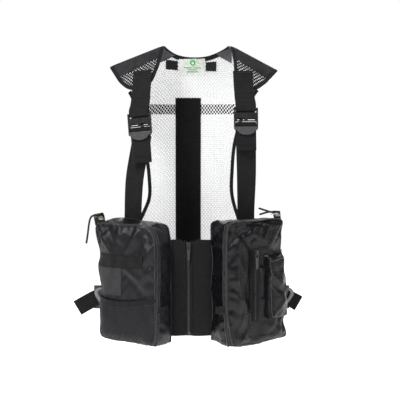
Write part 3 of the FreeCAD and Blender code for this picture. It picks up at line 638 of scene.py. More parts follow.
def edge_band(name, path, surface, inward, wide, thick, material, body, nodes=(), slot=None,
              lift=0.0):
    """Binding folded over an edge of cloth; inward says which side of the path the cloth is."""
    spots, across = [], []
    count = len(path)
    for i, p in enumerate(path):
        way = (path[min(i + 1, count - 1)] - path[max(i - 1, 0)]).normalized()
        side = Vector((-way.y, way.x)) * inward
        middle = p + side * (wide / 2 - 0.8)
        spots.append(surface(middle.x, middle.y, lift) / MM)
        near, far = middle - side * 2, middle + side * 2
        across.append(surface(far.x, far.y, lift) - surface(near.x, near.y, lift))
    return ribbon(name, spots, across, wide, thick, material, body, nodes, slot, 4)


def scallop(points, pitch, depth, rise):
    """A cut edge that follows the cells of the net."""
    out = []
    run = 0.0
    for i, p in enumerate(points):
        out.append(Vector((p[0], p[1] + rise * depth * abs(math.sin(math.pi * run / pitch)))))
        if i < len(points) - 1:
            run += (Vector(points[i + 1]) - Vector(p)).length
    return out


# ---------------------------------------------------------------- back
NECK = [(-67, -4), (-40, -19), (-8, -25), (32, -24), (62, -16), (94, -1.5)]
LEFT_SIDE = [(-200, -60), (-160, -100), (-131, -170), (-116, -262), (-108, -330), (-109, -385),
             (-134, -446), (-150, -500), (-150, -692)]
RIGHT_SIDE = [(209, -66), (164, -100), (128, -165), (108, -235), (101, -310), (101, -375),
              (121, -446), (138, -500), (138, -692)]
neck = on_cloth(curve_through(NECK, 7), BACK)
left_side = on_cloth(curve_through(LEFT_SIDE, 7), BACK)
right_side = on_cloth(curve_through(RIGHT_SIDE, 7), BACK)
outline = neck[:-1]
outline += [Vector((x, 0)) for x in np.arange(95, 207, 7)]
outline += right_side
outline += on_cloth([(x, -692) for x in np.arange(131, -149, -7)], BACK)
outline += left_side[::-1]
outline += [Vector((x, 0)) for x in np.arange(-195, -68, 7)]
cloth("back_cloth", outline, back_face, white_net, "harness", ["back_panel"], held="hung")
edge_band("neck_edge", neck, back_face, 1, 13, 2.4, tape, "harness", ["neck_binding"])
edge_band("left_edge", left_side[9:], back_face, 1, 10, 2.6, tape, "harness",
          ["left_side_binding"])
edge_band("right_edge", right_side[8:], back_face, -1, 10, 2.6, tape, "harness",
          ["right_side_binding"])
hem = on_cloth([(x, -692) for x in np.arange(138, -151, -8)], BACK)
edge_band("back_hem", hem, back_face, 1, 9, 2.2, tape, "harness", slot="left_side_binding")

for name, points in (
        ("left_neck_facing", [(-71, -6), (-44, -20), (-53, -25), (-66, -31), (-84, -38),
                              (-80, -22)]),
        ("right_neck_facing", [(98, -4), (62, -16), (71, -24), (84, -30), (101, -38),
                               (101, -20)])):
    loop = on_cloth(straight(points, 4, True), BACK)
    cloth(name, loop, back_face, satin, "harness", slot="left_yoke", step=5, lift=-1.5,
          thick=0.8, held="stretched")

spine = scallop(on_cloth(straight([(-43, -121), (23, -121)], 1.2), BACK), 7.4, 1.6, 1)
spine += on_cloth(straight([(23, -128), (23, -678), (-43, -678), (-43, -128)], 7), BACK)
cloth("spine_cloth", spine, back_face, loop_band, "harness", ["spine_band"], lift=-1.7,
      thick=2.0)
cross = scallop(on_cloth(straight([(-124, -138), (116, -138)], 1.5), BACK), 7.4, 1.2, 1)
cross += scallop(on_cloth(straight([(116, -165), (-124, -165)], 1.5), BACK), 7.4, 1.2, -1)
cloth("cross_cloth", cross, back_face, loop_band, "harness", ["cross_band"], lift=1.7,
      thick=1.6)
for name, edge, inside in (("spine_seam_left", -40.5, -1), ("spine_seam_right", 20.5, -1)):
    row = on_cloth(straight([(edge, -123), (edge, -676)], 8), BACK)
    stitches(name, [back_face(p.x, p.y, -2.8) / MM for p in row], [Vector((0, -1, 0.1))] * len(row),
             dark_thread, "harness", "spine_band", 2.8, 4.2)

label = on_cloth(straight([(-33, -28), (33, -27), (33, -62), (-33, -62)], 5, True), BACK)
cloth("label_cloth", label, back_face, label_white, "harness", ["neck_label"], step=5,
      lift=-2.4, thick=0.7)
ring = [Vector((1.5 + 5.2 * math.cos(k * math.pi / 12), -36 + 5.2 * math.sin(k * math.pi / 12)))
        for k in range(24)]
ring_at = on_cloth(ring, BACK)
middle = on_cloth([(1.5, -36)], BACK)[0]
ribbon("label_ring", [back_face(p.x, p.y, -3.0) / MM for p in ring_at],
       [back_face(p.x, p.y, -3.0) - back_face(middle.x, middle.y, -3.0) for p in ring_at],
       3.2, 0.5, green, "harness", slot="neck_label", columns=2, closed=True)
for number, (start, end, height) in enumerate(((-21, -2, -47), (2, 23, -47.5), (-12, 12, -52),
                                               (-15, 15, -57))):
    row = on_cloth(straight([(start, height), (end, height)], 4), BACK)
    ribbon("label_bar_%d" % number, [back_face(p.x, p.y, -3.0) / MM for p in row],
           [Vector((0, -0.3, 1))] * len(row), 1.7, 0.5, green, "harness", slot="neck_label",
           columns=2)
for name, node, corners in (
        ("left_hook_cloth", "left_hook_patch", [(-66, -29), (-36, -32), (-36, -55), (-67, -52)]),
        ("right_hook_cloth", "right_hook_patch", [(35, -35), (62, -33), (62, -57), (35, -56)])):
    a, b, c, d = corners
    loop = scallop(on_cloth(straight([a, b], 1.2), BACK), 6.8, 1.3, 1)
    loop += scallop(on_cloth(straight([c, d], 1.2), BACK), 6.8, 1.3, -1)
    cloth(name, loop, back_face, hook_patch, "harness", [node], step=4, lift=-2.2, thick=1.6)

# ---------------------------------------------------------------- yokes
YOKES = {
    "left": (-1, [(-69, -4), (-72, -22), (-77, -45), (-84, -68), (-97, -97), (-118, -114),
                  (-150, -117), (-174, -101), (-190, -78), (-202, -58)],
             [(-70, -6), (-72, -22), (-76, -40), (-92, -41), (-125, -58), (-169, -82),
              (-184, -88), (-202, -60)]),
    "right": (1, [(95.5, -3), (98, -22), (101, -45), (103, -74), (112, -100), (130, -114),
                  (152, -119), (179, -101), (194, -84), (211, -65)],
              [(97, -5), (98, -20), (99, -34), (112, -42), (135, -58), (171, -80), (190, -90),
               (211, -67)])}
for side, (sign, edge, facing) in YOKES.items():
    rim = on_cloth(curve_through(edge, 6), FRONT)
    tip, start = rim[-1].x, rim[0].x
    top = [Vector((tip + (start - tip) * k / 20, 0)) for k in range(1, 20)]
    cloth(side + "_yoke_cloth", rim + top, fold_face, black_net, "harness", [side + "_yoke"],
          step=6, lift=0.6, held="folded")
    inner = on_cloth(straight(facing, 6), FRONT)
    over = [Vector((p.x, -13)) for p in top]
    cloth(side + "_yoke_facing", inner + over, fold_face, knit, "harness", slot=side + "_yoke",
          step=6, lift=1.7, thick=1.0, held="folded")
    edge_band(side + "_yoke_edge", rim, fold_face, -sign, 10, 3.0, tape, "harness",
              [side + "_yoke_binding"], lift=0.9)
    for number, gap in enumerate((9, 26)):
        row = [Vector((x, gap)) for x in np.arange(start + sign * 16, tip - sign * 22, sign * 6)]
        stitches("%s_yoke_seam_%d" % (side, number), [fold_face(p.x, p.y, 2.2) / MM for p in row],
                 [(fold_face(p.x, p.y, 5) - fold_face(p.x, p.y, 2)) for p in row],
                 thread if side == "right" and not number else dark_thread, "harness",
                 side + "_yoke", 2.6, 4.6, 0.4)

# ---------------------------------------------------------------- shoulder straps
LOOP = [(-1, 14.5), (-3.6, 7), (-3.7, 0), (-2.6, -2.7), (0, -3.8), (2.6, -2.7), (3.7, 0),
        (3.7, 7), (4.6, 14)]
UPPER = {"left": [(48, 112), (38.5, 89), (30, 66), (13, 31)],
         "right": [(42, 97), (36, 77), (29.5, 54), (12, 28)]}
DOUBLED = {"left": [(16, 31), (24, 46)], "right": [(15, 28), (23, 40)]}
TAIL = {"left": 113, "right": 96}
LOWER = {
    "left": [(-119.6, -82.6, -232, -16), (-120.2, -81.8, -241.8, -16), (-137, -71, -330, -22),
             (-142.9, -56.9, -419, -27), (-143.4, -57.4, -473.4, -27)],
    "right": [(127.5, -83.2, -219, 4), (127.6, -82.4, -229.3, 4), (130, -74, -320, 14),
              (130, -62.1, -408, 27), (130.4, -61.9, -473.4, 27)]}


def strap_points(side, path, step):
    """A path in the strap's own plane, y and z from the buckle's top bar, taken to the vest."""
    matrix = buckle_matrix(side)
    line = curve_through([Vector((0, y, z)) for y, z in path], step)
    return [(matrix @ (p * MM)) / MM for p in line]


for side in ("left", "right"):
    over = buckle_matrix(side).to_3x3() @ Vector((1, 0, 0))
    front = buckle_matrix(side).to_3x3() @ Vector((0, -1, 0))
    path = UPPER[side] + LOOP + DOUBLED[side]
    spots = strap_points(side, path, 3)
    ribbon(side + "_upper_webbing", spots, [over] * len(spots), 48, 1.9, webbing, "harness",
           [side + "_upper_strap"], columns=8)
    for number, (y, z) in enumerate(((2.5, 19), (19.5, 45), (37.5, 92), (45, 108))):
        if side == "right" and number == 3:
            y, z = 40, 93
        centre = buckle_matrix(side) @ (Vector((0, y - 1.2, z)) * MM) / MM
        row = [centre + over * c for c in (-21, -7, 7, 21)]
        stitches("%s_strap_seam_%d" % (side, number), row,
                 [front + Vector((0, 0, 0.45))] * 4, dark_thread, "harness",
                 side + "_upper_strap", 2.4, 3.4, 0.4, 0.7)
    far = -TAIL[side]
    backing = {"left": [(21, 36), (12, 21), (8.6, 8), (7.6, -6), (7.5, -22.4)],
               "right": [(20, 32), (12, 20), (8.6, 8), (7.6, -6), (7.5, -22.4)]}[side]
    spots = strap_points(side, backing, 3)
    ribbon(side + "_backing_webbing", spots, [over] * len(spots), 46, 1.6, webbing, "harness",
           slot=side + "_upper_strap", columns=8)
    path = [(4.8, -60), (4.8, -50), (4.8, -37), (3.8, -31.6), (1.4, -29.7), (-0.9, -31.4),
            (-1.3, -40), (-1.2, -62), (-1.3, far + 30), (-1.6, far + 12), (-1.6, far)]
    spots = strap_points(side, path, 3)
    body = side + "_buckle_body"
    ribbon(side + "_tail_webbing", spots, [over] * len(spots), 48, 1.7, webbing, body,
           [side + "_strap_tail"], columns=8)
    spots = strap_points(side, [(-3.3, far + 11), (-3.3, far + 5), (-3.1, far + 0.4)], 2)
    ribbon(side + "_tail_hem", spots, [over] * len(spots), 47.4, 1.5, webbing, body,
           slot=side + "_strap_tail", columns=8)
    row = [(buckle_matrix(side) @ (Vector((c, -4.2, far + 8)) * MM)) / MM
           for c in (-21, -7, 7, 21)]
    stitches(side + "_tail_seam", row, [front] * 4, dark_thread, body, side + "_strap_tail",
             2.4, 3.4, 0.4)
    line = curve_through(LOWER[side], 6)
    middle = next(i for i, p in enumerate(line) if p[2] < -335)
    for part, run, nodes, pair, ends in (
            ("lower_webbing", line[middle:], [side + "_lower_strap"],
             ("harness", side + "_front"), (-0.345, -0.45)),
            ("buckle_webbing", line[:middle + 1], (),
             (side + "_buckle_body", "harness"), (-0.245, -0.328))):
        turns = [math.radians(p[3]) for p in run]
        strap = ribbon(side + "_" + part, [Vector(p[:3]) for p in run],
                       [Vector((math.cos(t), math.sin(t), 0)) for t in turns], 48, 1.9, webbing,
                       None, nodes, side + "_lower_strap", columns=8)
        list(pair)
        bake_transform(strap)

for side in ("left", "right"):
    dress(side + "_buckle", buckle_finish(side))

# ---------------------------------------------------------------- belt, centre zip and sides
BENDS = {"left": (-1, -47, 152), "right": (1, 43, 161)}
for side, (sign, bend, wide) in BENDS.items():
    inner = -8 + sign * 6.4
    outer = (bend + sign * COS27 * wide, -107 + SIN27 * wide)
    line = curve_through([(inner, -107, 0), (inner + (bend - inner) * 0.5, -107.3, 0),
                          (bend - sign * 3, -106.8, 0), (bend + sign * 14, -99.6, 0),
                          (outer[0] - sign * 60, outer[1] - 30.6, 0),
                          (outer[0], outer[1], 0)], 5)
    spans = []
    for p in line:
        near = max(0.0, 1 - abs(p.x - inner) / 13)
        spans.append((-702 - 0.5 * math.sin(p.x / 9), -474 - 9 * near + 0.6 * math.sin(p.x / 7)))
    ribbon(side + "_belt_cloth", line, [Vector((0, 0, 1))] * len(line), 0, 1.9, elastic,
           side + "_front", [side + "_belt_panel"], columns=34, spans=spans,
           push=lambda i, c: 0.5 * noise.noise(Vector((i / 3, c / 22, 1.7))))
    for number, height in enumerate((-480, -696)):
        drop = 9 if number == 0 else 0
        row = [Vector((p.x, p.y - 1.1, height - drop * max(0.0, 1 - abs(p.x - inner) / 13)))
               for p in line if abs(p.x) < 56]
        stitches("%s_belt_seam_%d" % (side, number), row, [Vector((0, -1, 0))] * len(row),
                 dark_thread, side + "_front", side + "_belt_panel", 2.6, 4.2, 0.4)
    tape_x = -8 + sign * 4.8
    top = -481 if side == "left" else -483
    spots = straight([(tape_x, -107.6, top), (tape_x, -107.6, -701)], 6)
    ribbon(side + "_centre_tape", spots, [Vector((1, 0, 0))] * len(spots), 9.4, 1.4, zip_tape,
           side + "_front", [side + "_zip_chain"], columns=3)
    lip_x = -8 + sign * 8.6
    lip = straight([(lip_x, -108.6, -476), (lip_x, -108.6, -701)], 8)
    tube(side + "_centre_piping", lip, 1.5, zip_tape, side + "_front", slot=side + "_belt_panel")
    verts, faces, uvs = [], [], []
    height = -489.0 if side == "left" else -490.3
    end = -690
    while height > end:
        root, tip = -8 + sign * 2.4, -8 - sign * 0.1
        base = len(verts)
        for x, tall, deep in ((root, 0.6, 1.0), (tip + sign * 0.9, 0.8, 1.2), (tip, 0.55, 1.0)):
            for y, z in ((-deep, -tall), (deep, -tall), (deep, tall), (-deep, tall)):
                verts.append(Vector((x, -107.4 + y, height + z)) * MM)
                uvs.append((x * MM, z * MM))
        for k in (0, 4):
            for j in range(4):
                m = (j + 1) % 4
                faces.append((base + k + j, base + k + m, base + k + 4 + m, base + k + 4 + j))
        faces.append((base, base + 1, base + 2, base + 3))
        faces.append((base + 8, base + 9, base + 10, base + 11))
        height -= 2.6
    make(side + "_centre_teeth", verts, faces, uvs, teeth, side + "_front", (),
         side + "_zip_chain")

SIDES = {"left": (-1, [(-181, -38.5), (-187, -32), (-191.5, -18), (-192.5, 8), (-179.5, 50),
                       (-157, 85), (-146, 87.5)]),
         "right": (1, [(185, -34.5), (189, -29), (191.5, -15), (192.5, 8), (180, 50),
                       (145, 85), (134, 87.5)])}
for side, (sign, path) in SIDES.items():
    line = curve_through([(x, y, -587) for x, y in path], 4)
    panel = ribbon(side + "_side_cloth", line, [Vector((0, 0, 1))] * len(line), 206, 1.9,
                   elastic, None, [side + "_side_panel"], columns=30,
                   push=lambda i, c: 1.1 * noise.noise(Vector((i / 5, c / 30, 4.2))))
    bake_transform(panel)

TAILS = {"left": [(-194, 4, -625), (-216, 2.5, -626), (-238, 1, -630), (-262, 0, -642),
                  (-288, 0, -657)],
         "right": [(194, 4, -625), (214, 2.5, -626), (236, 1, -629), (252, 0, -636),
                   (268, 0, -645)]}
for side, path in TAILS.items():
    sign = -1 if side == "left" else 1
    line = curve_through(path, 3)
    ways = [way_at(line, i) for i in range(len(line))]
    across = [Vector((-way.z, 0, way.x)) * sign for way in ways]
    ribbon(side + "_side_tail", line, across, 40, 1.8, webbing, "harness", [side + "_side_strap"],
           columns=6)
    run = curve_through([(sign * 194, -15, -627), (sign * 195.4, 9, -627), (sign * 183, 50, -627),
                         (sign * 171, 67, -627)], 4)
    ribbon(side + "_side_run", run, [Vector((0, 0, 1))] * len(run), 40, 1.8, webbing, "harness",
           slot=side + "_side_strap", columns=6)
    past = 0 if side == "left" else 11
    crescent = curve_through([(sign * (x + past), y, z) for x, y, z in (
        (216, -4, -607), (232, -7, -607), (240, -3.5, -618), (231, -2.5, -636),
        (220, -3, -650))], 2)
    last = len(crescent) - 1
    halves = [3.4 * math.sin(math.pi * i / last) + 1.0 for i in range(last + 1)]
    ways = [way_at(crescent, i) for i in range(last + 1)]
    across = [Vector((-way.z, 0, way.x)) for way in ways]
    ribbon(side + "_side_lining", crescent, across, 0, 1.0, lining, "harness",
           slot=side + "_side_strap", columns=4, spans=[(-w, w) for w in halves])

# ---------------------------------------------------------------- pouches
POUCH = {"left": (-1, -47.0), "right": (1, 43.0)}


def at_pouch(side, s, d, z):
    """s from the inner edge outwards, d from the back forwards, z up, in mm."""
    sign, base = POUCH[side]
    return Vector((base + sign * (COS27 * s + SIN27 * d), -108 + SIN27 * s - COS27 * d, z)) * MM


FRONT_LOOP = {
    "left": [(6, -712), (0, -700), (-1, -600), (-1, -500), (3, -468), (14, -447), (34, -438.5),
             (60, -436), (87, -437.5), (125, -435), (153, -434.5), (163, -442), (162, -460),
             (154, -505), (158, -534), (155, -599), (155, -643), (153, -690), (148, -702),
             (137, -707), (75, -709), (28, -710)],
    "right": [(8, -713), (4, -700), (0, -660), (-2, -594), (-2, -486), (-1, -455), (4, -437),
              (14, -428.5), (40, -426), (70, -425), (106, -423), (146, -424), (152, -433),
              (149, -449), (147, -487), (150, -516), (158, -565), (161, -600), (161, -649),
              (156, -664), (161, -690), (162, -703), (140, -706.5), (86, -713.5), (40, -714.5)]}
BACK_LOOP = {
    "left": [(4, -719), (0, -700), (0, -600), (0, -500), (1, -473), (4, -449), (15, -437),
             (40, -433), (73, -430.5), (112, -425.5), (149, -425), (160, -429), (161, -445),
             (157, -505), (157, -534), (156, -599), (156, -643), (154, -690), (149, -704),
             (137, -710), (75, -714), (28, -718)],
    "right": [(2, -714), (0, -700), (0, -660), (0, -594), (0, -486), (-1, -458), (-2, -438),
              (5, -430.5), (40, -431), (68, -430.6), (106, -430), (146, -430), (157, -436),
              (159, -452), (159, -487), (159, -516), (160, -565), (160, -600), (160, -649),
              (160, -664), (160, -690), (156, -703), (140, -707), (86, -712), (40, -714)]}
ZIP_LINE = {
    "left": [(162, 66, -456), (161.5, 69, -443), (152, 71, -434.5), (125, 71, -434.5),
             (87, 71, -437), (55, 71, -435), (32, 70, -438), (14, 68, -447), (4, 66, -466),
             (-1, 65, -490), (-1, 65, -600), (0, 71, -690), (4, 78, -711)],
    "right": [(151, 68, -440), (148, 71, -427), (106, 72, -423), (69, 72, -425), (29, 72, -427),
              (11, 72, -428.5), (2, 72, -437), (-1, 71, -452), (-2, 70, -487), (-2, 70, -596),
              (0, 75, -655), (5, 79, -700), (9, 80, -712)]}
# folds on the front: start, end, height and half width, all in mm
FOLDS = {
    "left": [(150, -445, 112, -502, 4.6, 7), (128, -440, 100, -478, -3.6, 6),
             (100, -441, 84, -474, 3.0, 7), (24, -458, 42, -500, -3.2, 7),
             (44, -446, 56, -490, 3.0, 8), (12, -536, 40, -578, 3.0, 8),
             (66, -552, 20, -600, -3.0, 9), (8, -490, 26, -540, 2.6, 7),
             (146, -460, 150, -500, -2.4, 5), (70, -540, 40, -560, 2.2, 6)],
    "right": [(20, -440, 62, -494, -5.5, 8), (45, -434, 86, -488, 4.2, 8),
              (26, -478, 22, -560, 3.8, 8), (20, -560, 28, -650, 3.4, 8),
              (40, -500, 48, -600, -2.6, 8), (92, -428, 74, -480, -4.2, 9),
              (58, -500, 46, -560, 2.6, 6), (30, -600, 60, -640, 3.0, 7),
              (68, -640, 40, -690, -3.2, 8), (110, -430, 84, -496, 3.0, 6),
              (142, -438, 98, -492, 4.6, 9), (150, -440, 126, -470, -3.6, 6),
              (30, -706, 70, -664, 4.6, 8), (86, -664, 60, -705, -3.8, 9),
              (100, -668, 150, -690, 3.8, 8), (90, -700, 130, -674, -3.0, 7)]}


def forward(side):
    """One mm out of the pouch's front, as a vector."""
    return at_pouch(side, 0, 1, 0) - at_pouch(side, 0, 0, 0)


def pouch_rings(side):
    """Closed rings from the middle of the back to the middle of the front."""
    front = curve_through([(s, z, 0) for s, z in FRONT_LOOP[side]], 6, True)
    back = []
    pts = BACK_LOOP[side]
    sizes = []
    loop = FRONT_LOOP[side]
    for i in range(len(loop)):
        a, b = Vector(loop[i]), Vector(loop[(i + 1) % len(loop)])
        sizes.append(max(1, round((b - a).length / 6)))
    count = len(pts)
    for i in range(count):
        a, b = Vector(pts[i - 1]), Vector(pts[i])
        c, d = Vector(pts[(i + 1) % count]), Vector(pts[(i + 2) % count])
        for k in range(sizes[i]):
            back.append(spline_point(a, b, c, d, k / sizes[i]))
    centre_front = sum((p.xy for p in front), Vector((0, 0))) / len(front)
    centre_back = sum(back, Vector((0, 0))) / len(back)
    rings = []
    for share, level in ((0.35, 0.4), (0.75, 0.4)):
        rings.append([centre_back.lerp(p, share).to_tuple() + (level,) for p in back])
    for d, inset in ((1, 3), (3, 1.2), (8, 0.8), (20, 0.8), (32, 0.8), (44, 0.8), (56, 0.8),
                     (66, 0.8), (73, 1.0), (77, 2.4), (79, 5)):
        share = d / 80
        ring = []
        for p, q in zip(back, front):
            spot = p.lerp(q.xy, share)
            centre = centre_back.lerp(centre_front, share)
            spot += (centre - spot).normalized() * inset
            ring.append(spot.to_tuple() + (d,))
        rings.append(ring)
    for share in (0.88, 0.72, 0.5, 0.25):
        crown = 80 + 3.5 * (1 - share ** 3)
        rings.append([centre_front.lerp(q.xy, share).to_tuple() + (crown,) for q in front])
    return rings


def pouch_form(side):
    rings = pouch_rings(side)
    verts, faces = [], []
    size = len(rings[0])
    for ring in rings:
        verts += [at_pouch(side, s, d, z) for s, z, d in ring]
    for k in range(len(rings) - 1):
        for i in range(size):
            j = (i + 1) % size
            faces.append((k * size + i, k * size + j, (k + 1) * size + j, (k + 1) * size + i))
    faces.append(tuple(range(size)))
    faces.append(tuple(range((len(rings) - 1) * size, len(rings) * size)))
    mesh = bpy.data.meshes.new(side + "_form")
    mesh.from_pydata(verts, [], faces)
    work = bmesh.new()
    work.from_mesh(mesh)
    bmesh.ops.recalc_face_normals(work, faces=work.faces)
    work.to_mesh(mesh)
    work.free()
    obj = bpy.data.objects.new(side + "_form", mesh)
    scene.collection.objects.link(obj)
    remesh = obj.modifiers.new("remesh", "REMESH")
    remesh.mode = "VOXEL"
    remesh.voxel_size = 0.005
    return bake(obj)


def bake(obj):
    """The object's mesh with its modifiers applied."""
    bpy.context.view_layer.update()
    graph = bpy.context.evaluated_depsgraph_get()
    done = bpy.data.meshes.new_from_object(obj.evaluated_get(graph))
    obj.modifiers.clear()
    obj.data = done
    return obj


def local_spot(side, co):
    sign, base = POUCH[side]
    x, y = co[0] / MM - base, co[1] / MM + 108
    return sign * COS27 * x + SIN27 * y, sign * SIN27 * x - COS27 * y, co[2] / MM


def line_distance(points, line):
    """Distance of every point to a polyline, in mm."""
    near = np.full(len(points), 1e9)
    for a, b in zip(line, line[1:]):
        a, b = np.array(a[:]), np.array(b[:])
        way = b - a
        t = np.clip(((points - a) @ way) / max(way @ way, 1e-9), 0, 1)
        near = np.minimum(near, np.linalg.norm(points - a - t[:, None] * way, axis=1))
    return near


forms = {side: pouch_form(side) for side in POUCH}
starts = {}
locals_of = {}
for side, obj in forms.items():
    co = np.array([v.co[:] for v in obj.data.vertices])
    starts[side] = co
    spots = np.array([local_spot(side, p) for p in co])
    locals_of[side] = spots
    zip_near = line_distance(spots, curve_through(ZIP_LINE[side], 5))
    pinned = np.clip(1 - (zip_near - 3) / 4, 0, 1)
    pinned = np.maximum(pinned, np.clip(1 - (spots[:, 1] - 3) / 3, 0, 1))
    edge = curve_through([(s, z, 0) for s, z in FRONT_LOOP[side]], 8, True)
    front_rim = line_distance(spots[:, [0, 2]], [p.xy for p in edge + edge[:1]])
    pinned = np.maximum(pinned, 0.35 * np.clip(1 - front_rim / 5, 0, 1) * (spots[:, 1] > 74))
    group = obj.vertex_groups.new(name="seams")
    for i, weight in enumerate(pinned):
        group.add([i], float(weight), "REPLACE")
PRESSURE = {"left": 3.0, "right": 2.4}
EXTRA_CLOTH = {"left": 0.035, "right": 0.05}
FRAMES = 24
MOST_MOVE = 7 * MM
for side, obj in forms.items():
    swell = obj.modifiers.new("swell", "CLOTH")
    settings = swell.settings
    settings.quality = 6
    settings.mass = 0.2
    settings.tension_stiffness = 12
    settings.compression_stiffness = 12
    settings.shear_stiffness = 6
    settings.bending_stiffness = 0.25
    settings.use_pressure = True
    settings.uniform_pressure_force = PRESSURE[side]
    settings.shrink_min = -EXTRA_CLOTH[side]
    settings.vertex_group_mass = "seams"
    settings.pin_stiffness = 1.0
    settings.effector_weights.gravity = 0.0
    swell.collision_settings.use_collision = False
    swell.collision_settings.use_self_collision = False
    swell.point_cache.frame_start = 1
    swell.point_cache.frame_end = FRAMES
for number in range(1, FRAMES + 1):
    scene.frame_set(number)
for side, obj in forms.items():
    bake(obj)
    co = np.array([v.co[:] for v in obj.data.vertices])
    move = co - starts[side]
    far = np.linalg.norm(move, axis=1)
    limit = np.minimum(1.0, MOST_MOVE / np.maximum(far, 1e-9))
    co = starts[side] + move * limit[:, None]
    obj.data.vertices.foreach_set("co", co.ravel())
scene.frame_set(1)


def finish_pouch(side, obj):
    """Adds the sewn folds and the seam grooves, then smooths the shell."""
    fine = obj.modifiers.new("fine", "SUBSURF")
    fine.levels = 1
    bake(obj)
    mesh = obj.data
    co = np.array([v.co[:] for v in mesh.vertices])
    normals = np.array([v.normal[:] for v in mesh.vertices])
    spots = np.array([local_spot(side, p) for p in co])
    push = np.zeros(len(co))
    facing = np.clip((spots[:, 1] - 60) / 15, 0, 1)
    for s0, z0, s1, z1, tall, wide in FOLDS[side]:
        a, b = np.array((s0, z0)), np.array((s1, z1))
        way = b - a
        t = ((spots[:, [0, 2]] - a) @ way) / (way @ way)
        clipped = np.clip(t, 0, 1)
        far = np.linalg.norm(spots[:, [0, 2]] - a - clipped[:, None] * way, axis=1)
        push += tall * np.exp(-(far / wide) ** 2) * facing * (0.35 + 0.65 * np.sin(
            math.pi * np.clip(0.12 + 0.76 * clipped, 0, 1)))
    lean = 0.5 if side == "left" else -0.35
    ripple = []
    for p in spots:
        a = noise.noise(Vector(((p[0] + lean * p[2]) / 23, (p[2] - lean * p[0]) / 85, p[1] / 60)))
        b = noise.noise(Vector(((p[0] - lean * p[2]) / 31, (p[2] + p[0]) / 70, p[1] / 50 + 4)))
        ripple.append(0.9 - 2.2 * abs(a) - 1.3 * abs(b))
    ripple = np.array(ripple)
    strong = np.where((spots[:, 1] > 4), 1.0, 0.2)
    rim = curve_through([(s, z, 0) for s, z in FRONT_LOOP[side]], 8, True)
    inside = line_distance(spots[:, [0, 2]], [p.xy for p in rim + rim[:1]])
    calm = np.where(spots[:, 1] > 70, np.clip(inside / 16, 0.15, 1), 0.5)
    push += ripple * (1.7 if side == "left" else 2.1) * strong * calm
    zip_near = line_distance(spots, curve_through(ZIP_LINE[side], 3))
    push *= np.clip(zip_near / 9, 0.1, 1)
    push -= 1.2 * np.exp(-(zip_near / 3.5) ** 2)
    co += normals * (push * MM)[:, None]
    if side == "right":
        spots = np.array([local_spot(side, p) for p in co])
        away = np.maximum(np.abs(spots[:, 0] - 74) - 8, 0) + np.maximum(spots[:, 2] + 484, 0)
        away += np.maximum(-690 - spots[:, 2], 0)
        flat = np.clip(1 - away / 28, 0, 1)
        flat = flat * flat * (3 - 2 * flat) * (spots[:, 1] > 74)
        co -= ((spots[:, 1] - 79.6) * flat)[:, None] * np.array(forward(side)[:])
    mesh.vertices.foreach_set("co", co.ravel())
    mesh.polygons.foreach_set("use_smooth", [True] * len(mesh.polygons))
    mesh.materials.clear()
    mesh.materials.append(NYLON[side].mat)
    mesh.update()
    obj.name = mesh.name = side + "_pouch_shell"
    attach(obj, side + "_front")
    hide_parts(side + "_pouch_front", side + "_pouch_gusset", side + "_pouch_back")
    return BVHTree.FromPolygons([v.co.copy() for v in mesh.vertices],
                                [tuple(p.vertices) for p in mesh.polygons])


trees = {side: finish_pouch(side, obj) for side, obj in forms.items()}


def depth_table(side):
    """How far forward the front of the pouch is, on a smoothed grid."""
    across = np.arange(-4, 172, 4.0)
    up = np.arange(-720, -424, 4.0)
    table = np.full((len(across), len(up)), np.nan)
    for i, s in enumerate(across):
        for j, z in enumerate(up):
            start = at_pouch(side, s, 200, z)
            way = (at_pouch(side, s, 0, z) - start).normalized()
            hit = trees[side].ray_cast(start, way, 0.15)
            if hit[0] is not None:
                table[i, j] = 200 - hit[3] / MM
    for j in range(len(up)):
        good = ~np.isnan(table[:, j])
        if good.sum() > 3:
            table[:, j] = np.interp(across, across[good], table[good, j])
    for i in range(len(across)):
        good = ~np.isnan(table[i])
        table[i] = np.interp(up, up[good], table[i, good])
    for _ in range(2):
        wide = np.pad(table, 1, mode="edge")
        table = (2 * table + wide[:-2, 1:-1] + wide[2:, 1:-1] + wide[1:-1, :-2]
                 + wide[1:-1, 2:]) / 6
    return across, up, table


depths = {side: depth_table(side) for side in POUCH}


def front_depth(side, s, z):
    across, up, table = depths[side]
    a = min(max((s - across[0]) / 4, 0), len(across) - 1.001)
    b = min(max((z - up[0]) / 4, 0), len(up) - 1.001)
    i, j = int(a), int(b)
    a, b = a - i, b - j
    return ((1 - a) * (1 - b) * table[i, j] + a * (1 - b) * table[i + 1, j]
            + (1 - a) * b * table[i, j + 1] + a * b * table[i + 1, j + 1])


def on_front(side, shape):
    """A place function for a piece that lies on the front; shape gives s and z."""
    def place(a, b, h):
        s, z = shape(a, b)
        return at_pouch(side, s, front_depth(side, s, z) + h, z)
    return place


def flat_uv(shape):
    return lambda a, b: (shape(a, b)[0] * MM, shape(a, b)[1] * MM)


def on_gusset(side, d, z, h):
    start = at_pouch(side, -60, d, z)
    way = (at_pouch(side, 60, d, z) - start).normalized()
    hit = trees[side].ray_cast(start, way, 0.15)
    s = -60 + hit[3] / MM if hit[0] is not None else 0
    return at_pouch(side, s - h, d, z)


def add_turn(verts, faces, uvs, section, place, at):
    """One turn of a coil: a bridge over the tape. place takes across, height and along, in mm."""
    base = len(verts)
    for c, h, w in section:
        for f in (-w, w):
            verts.append(place(c, h, f))
            verts.append(place(c, h - 0.8, f))
            uvs += [(c * MM, at * MM)] * 2
    for k in range(3):
        b = base + 4 * k
        faces += [(b, b + 4, b + 6, b + 2), (b + 1, b + 3, b + 7, b + 5),
                  (b, b + 1, b + 5, b + 4), (b + 2, b + 6, b + 7, b + 3)]
    faces += [(base, base + 2, base + 3, base + 1), (base + 12, base + 13, base + 15, base + 14)]


COIL_PITCH = 1.7


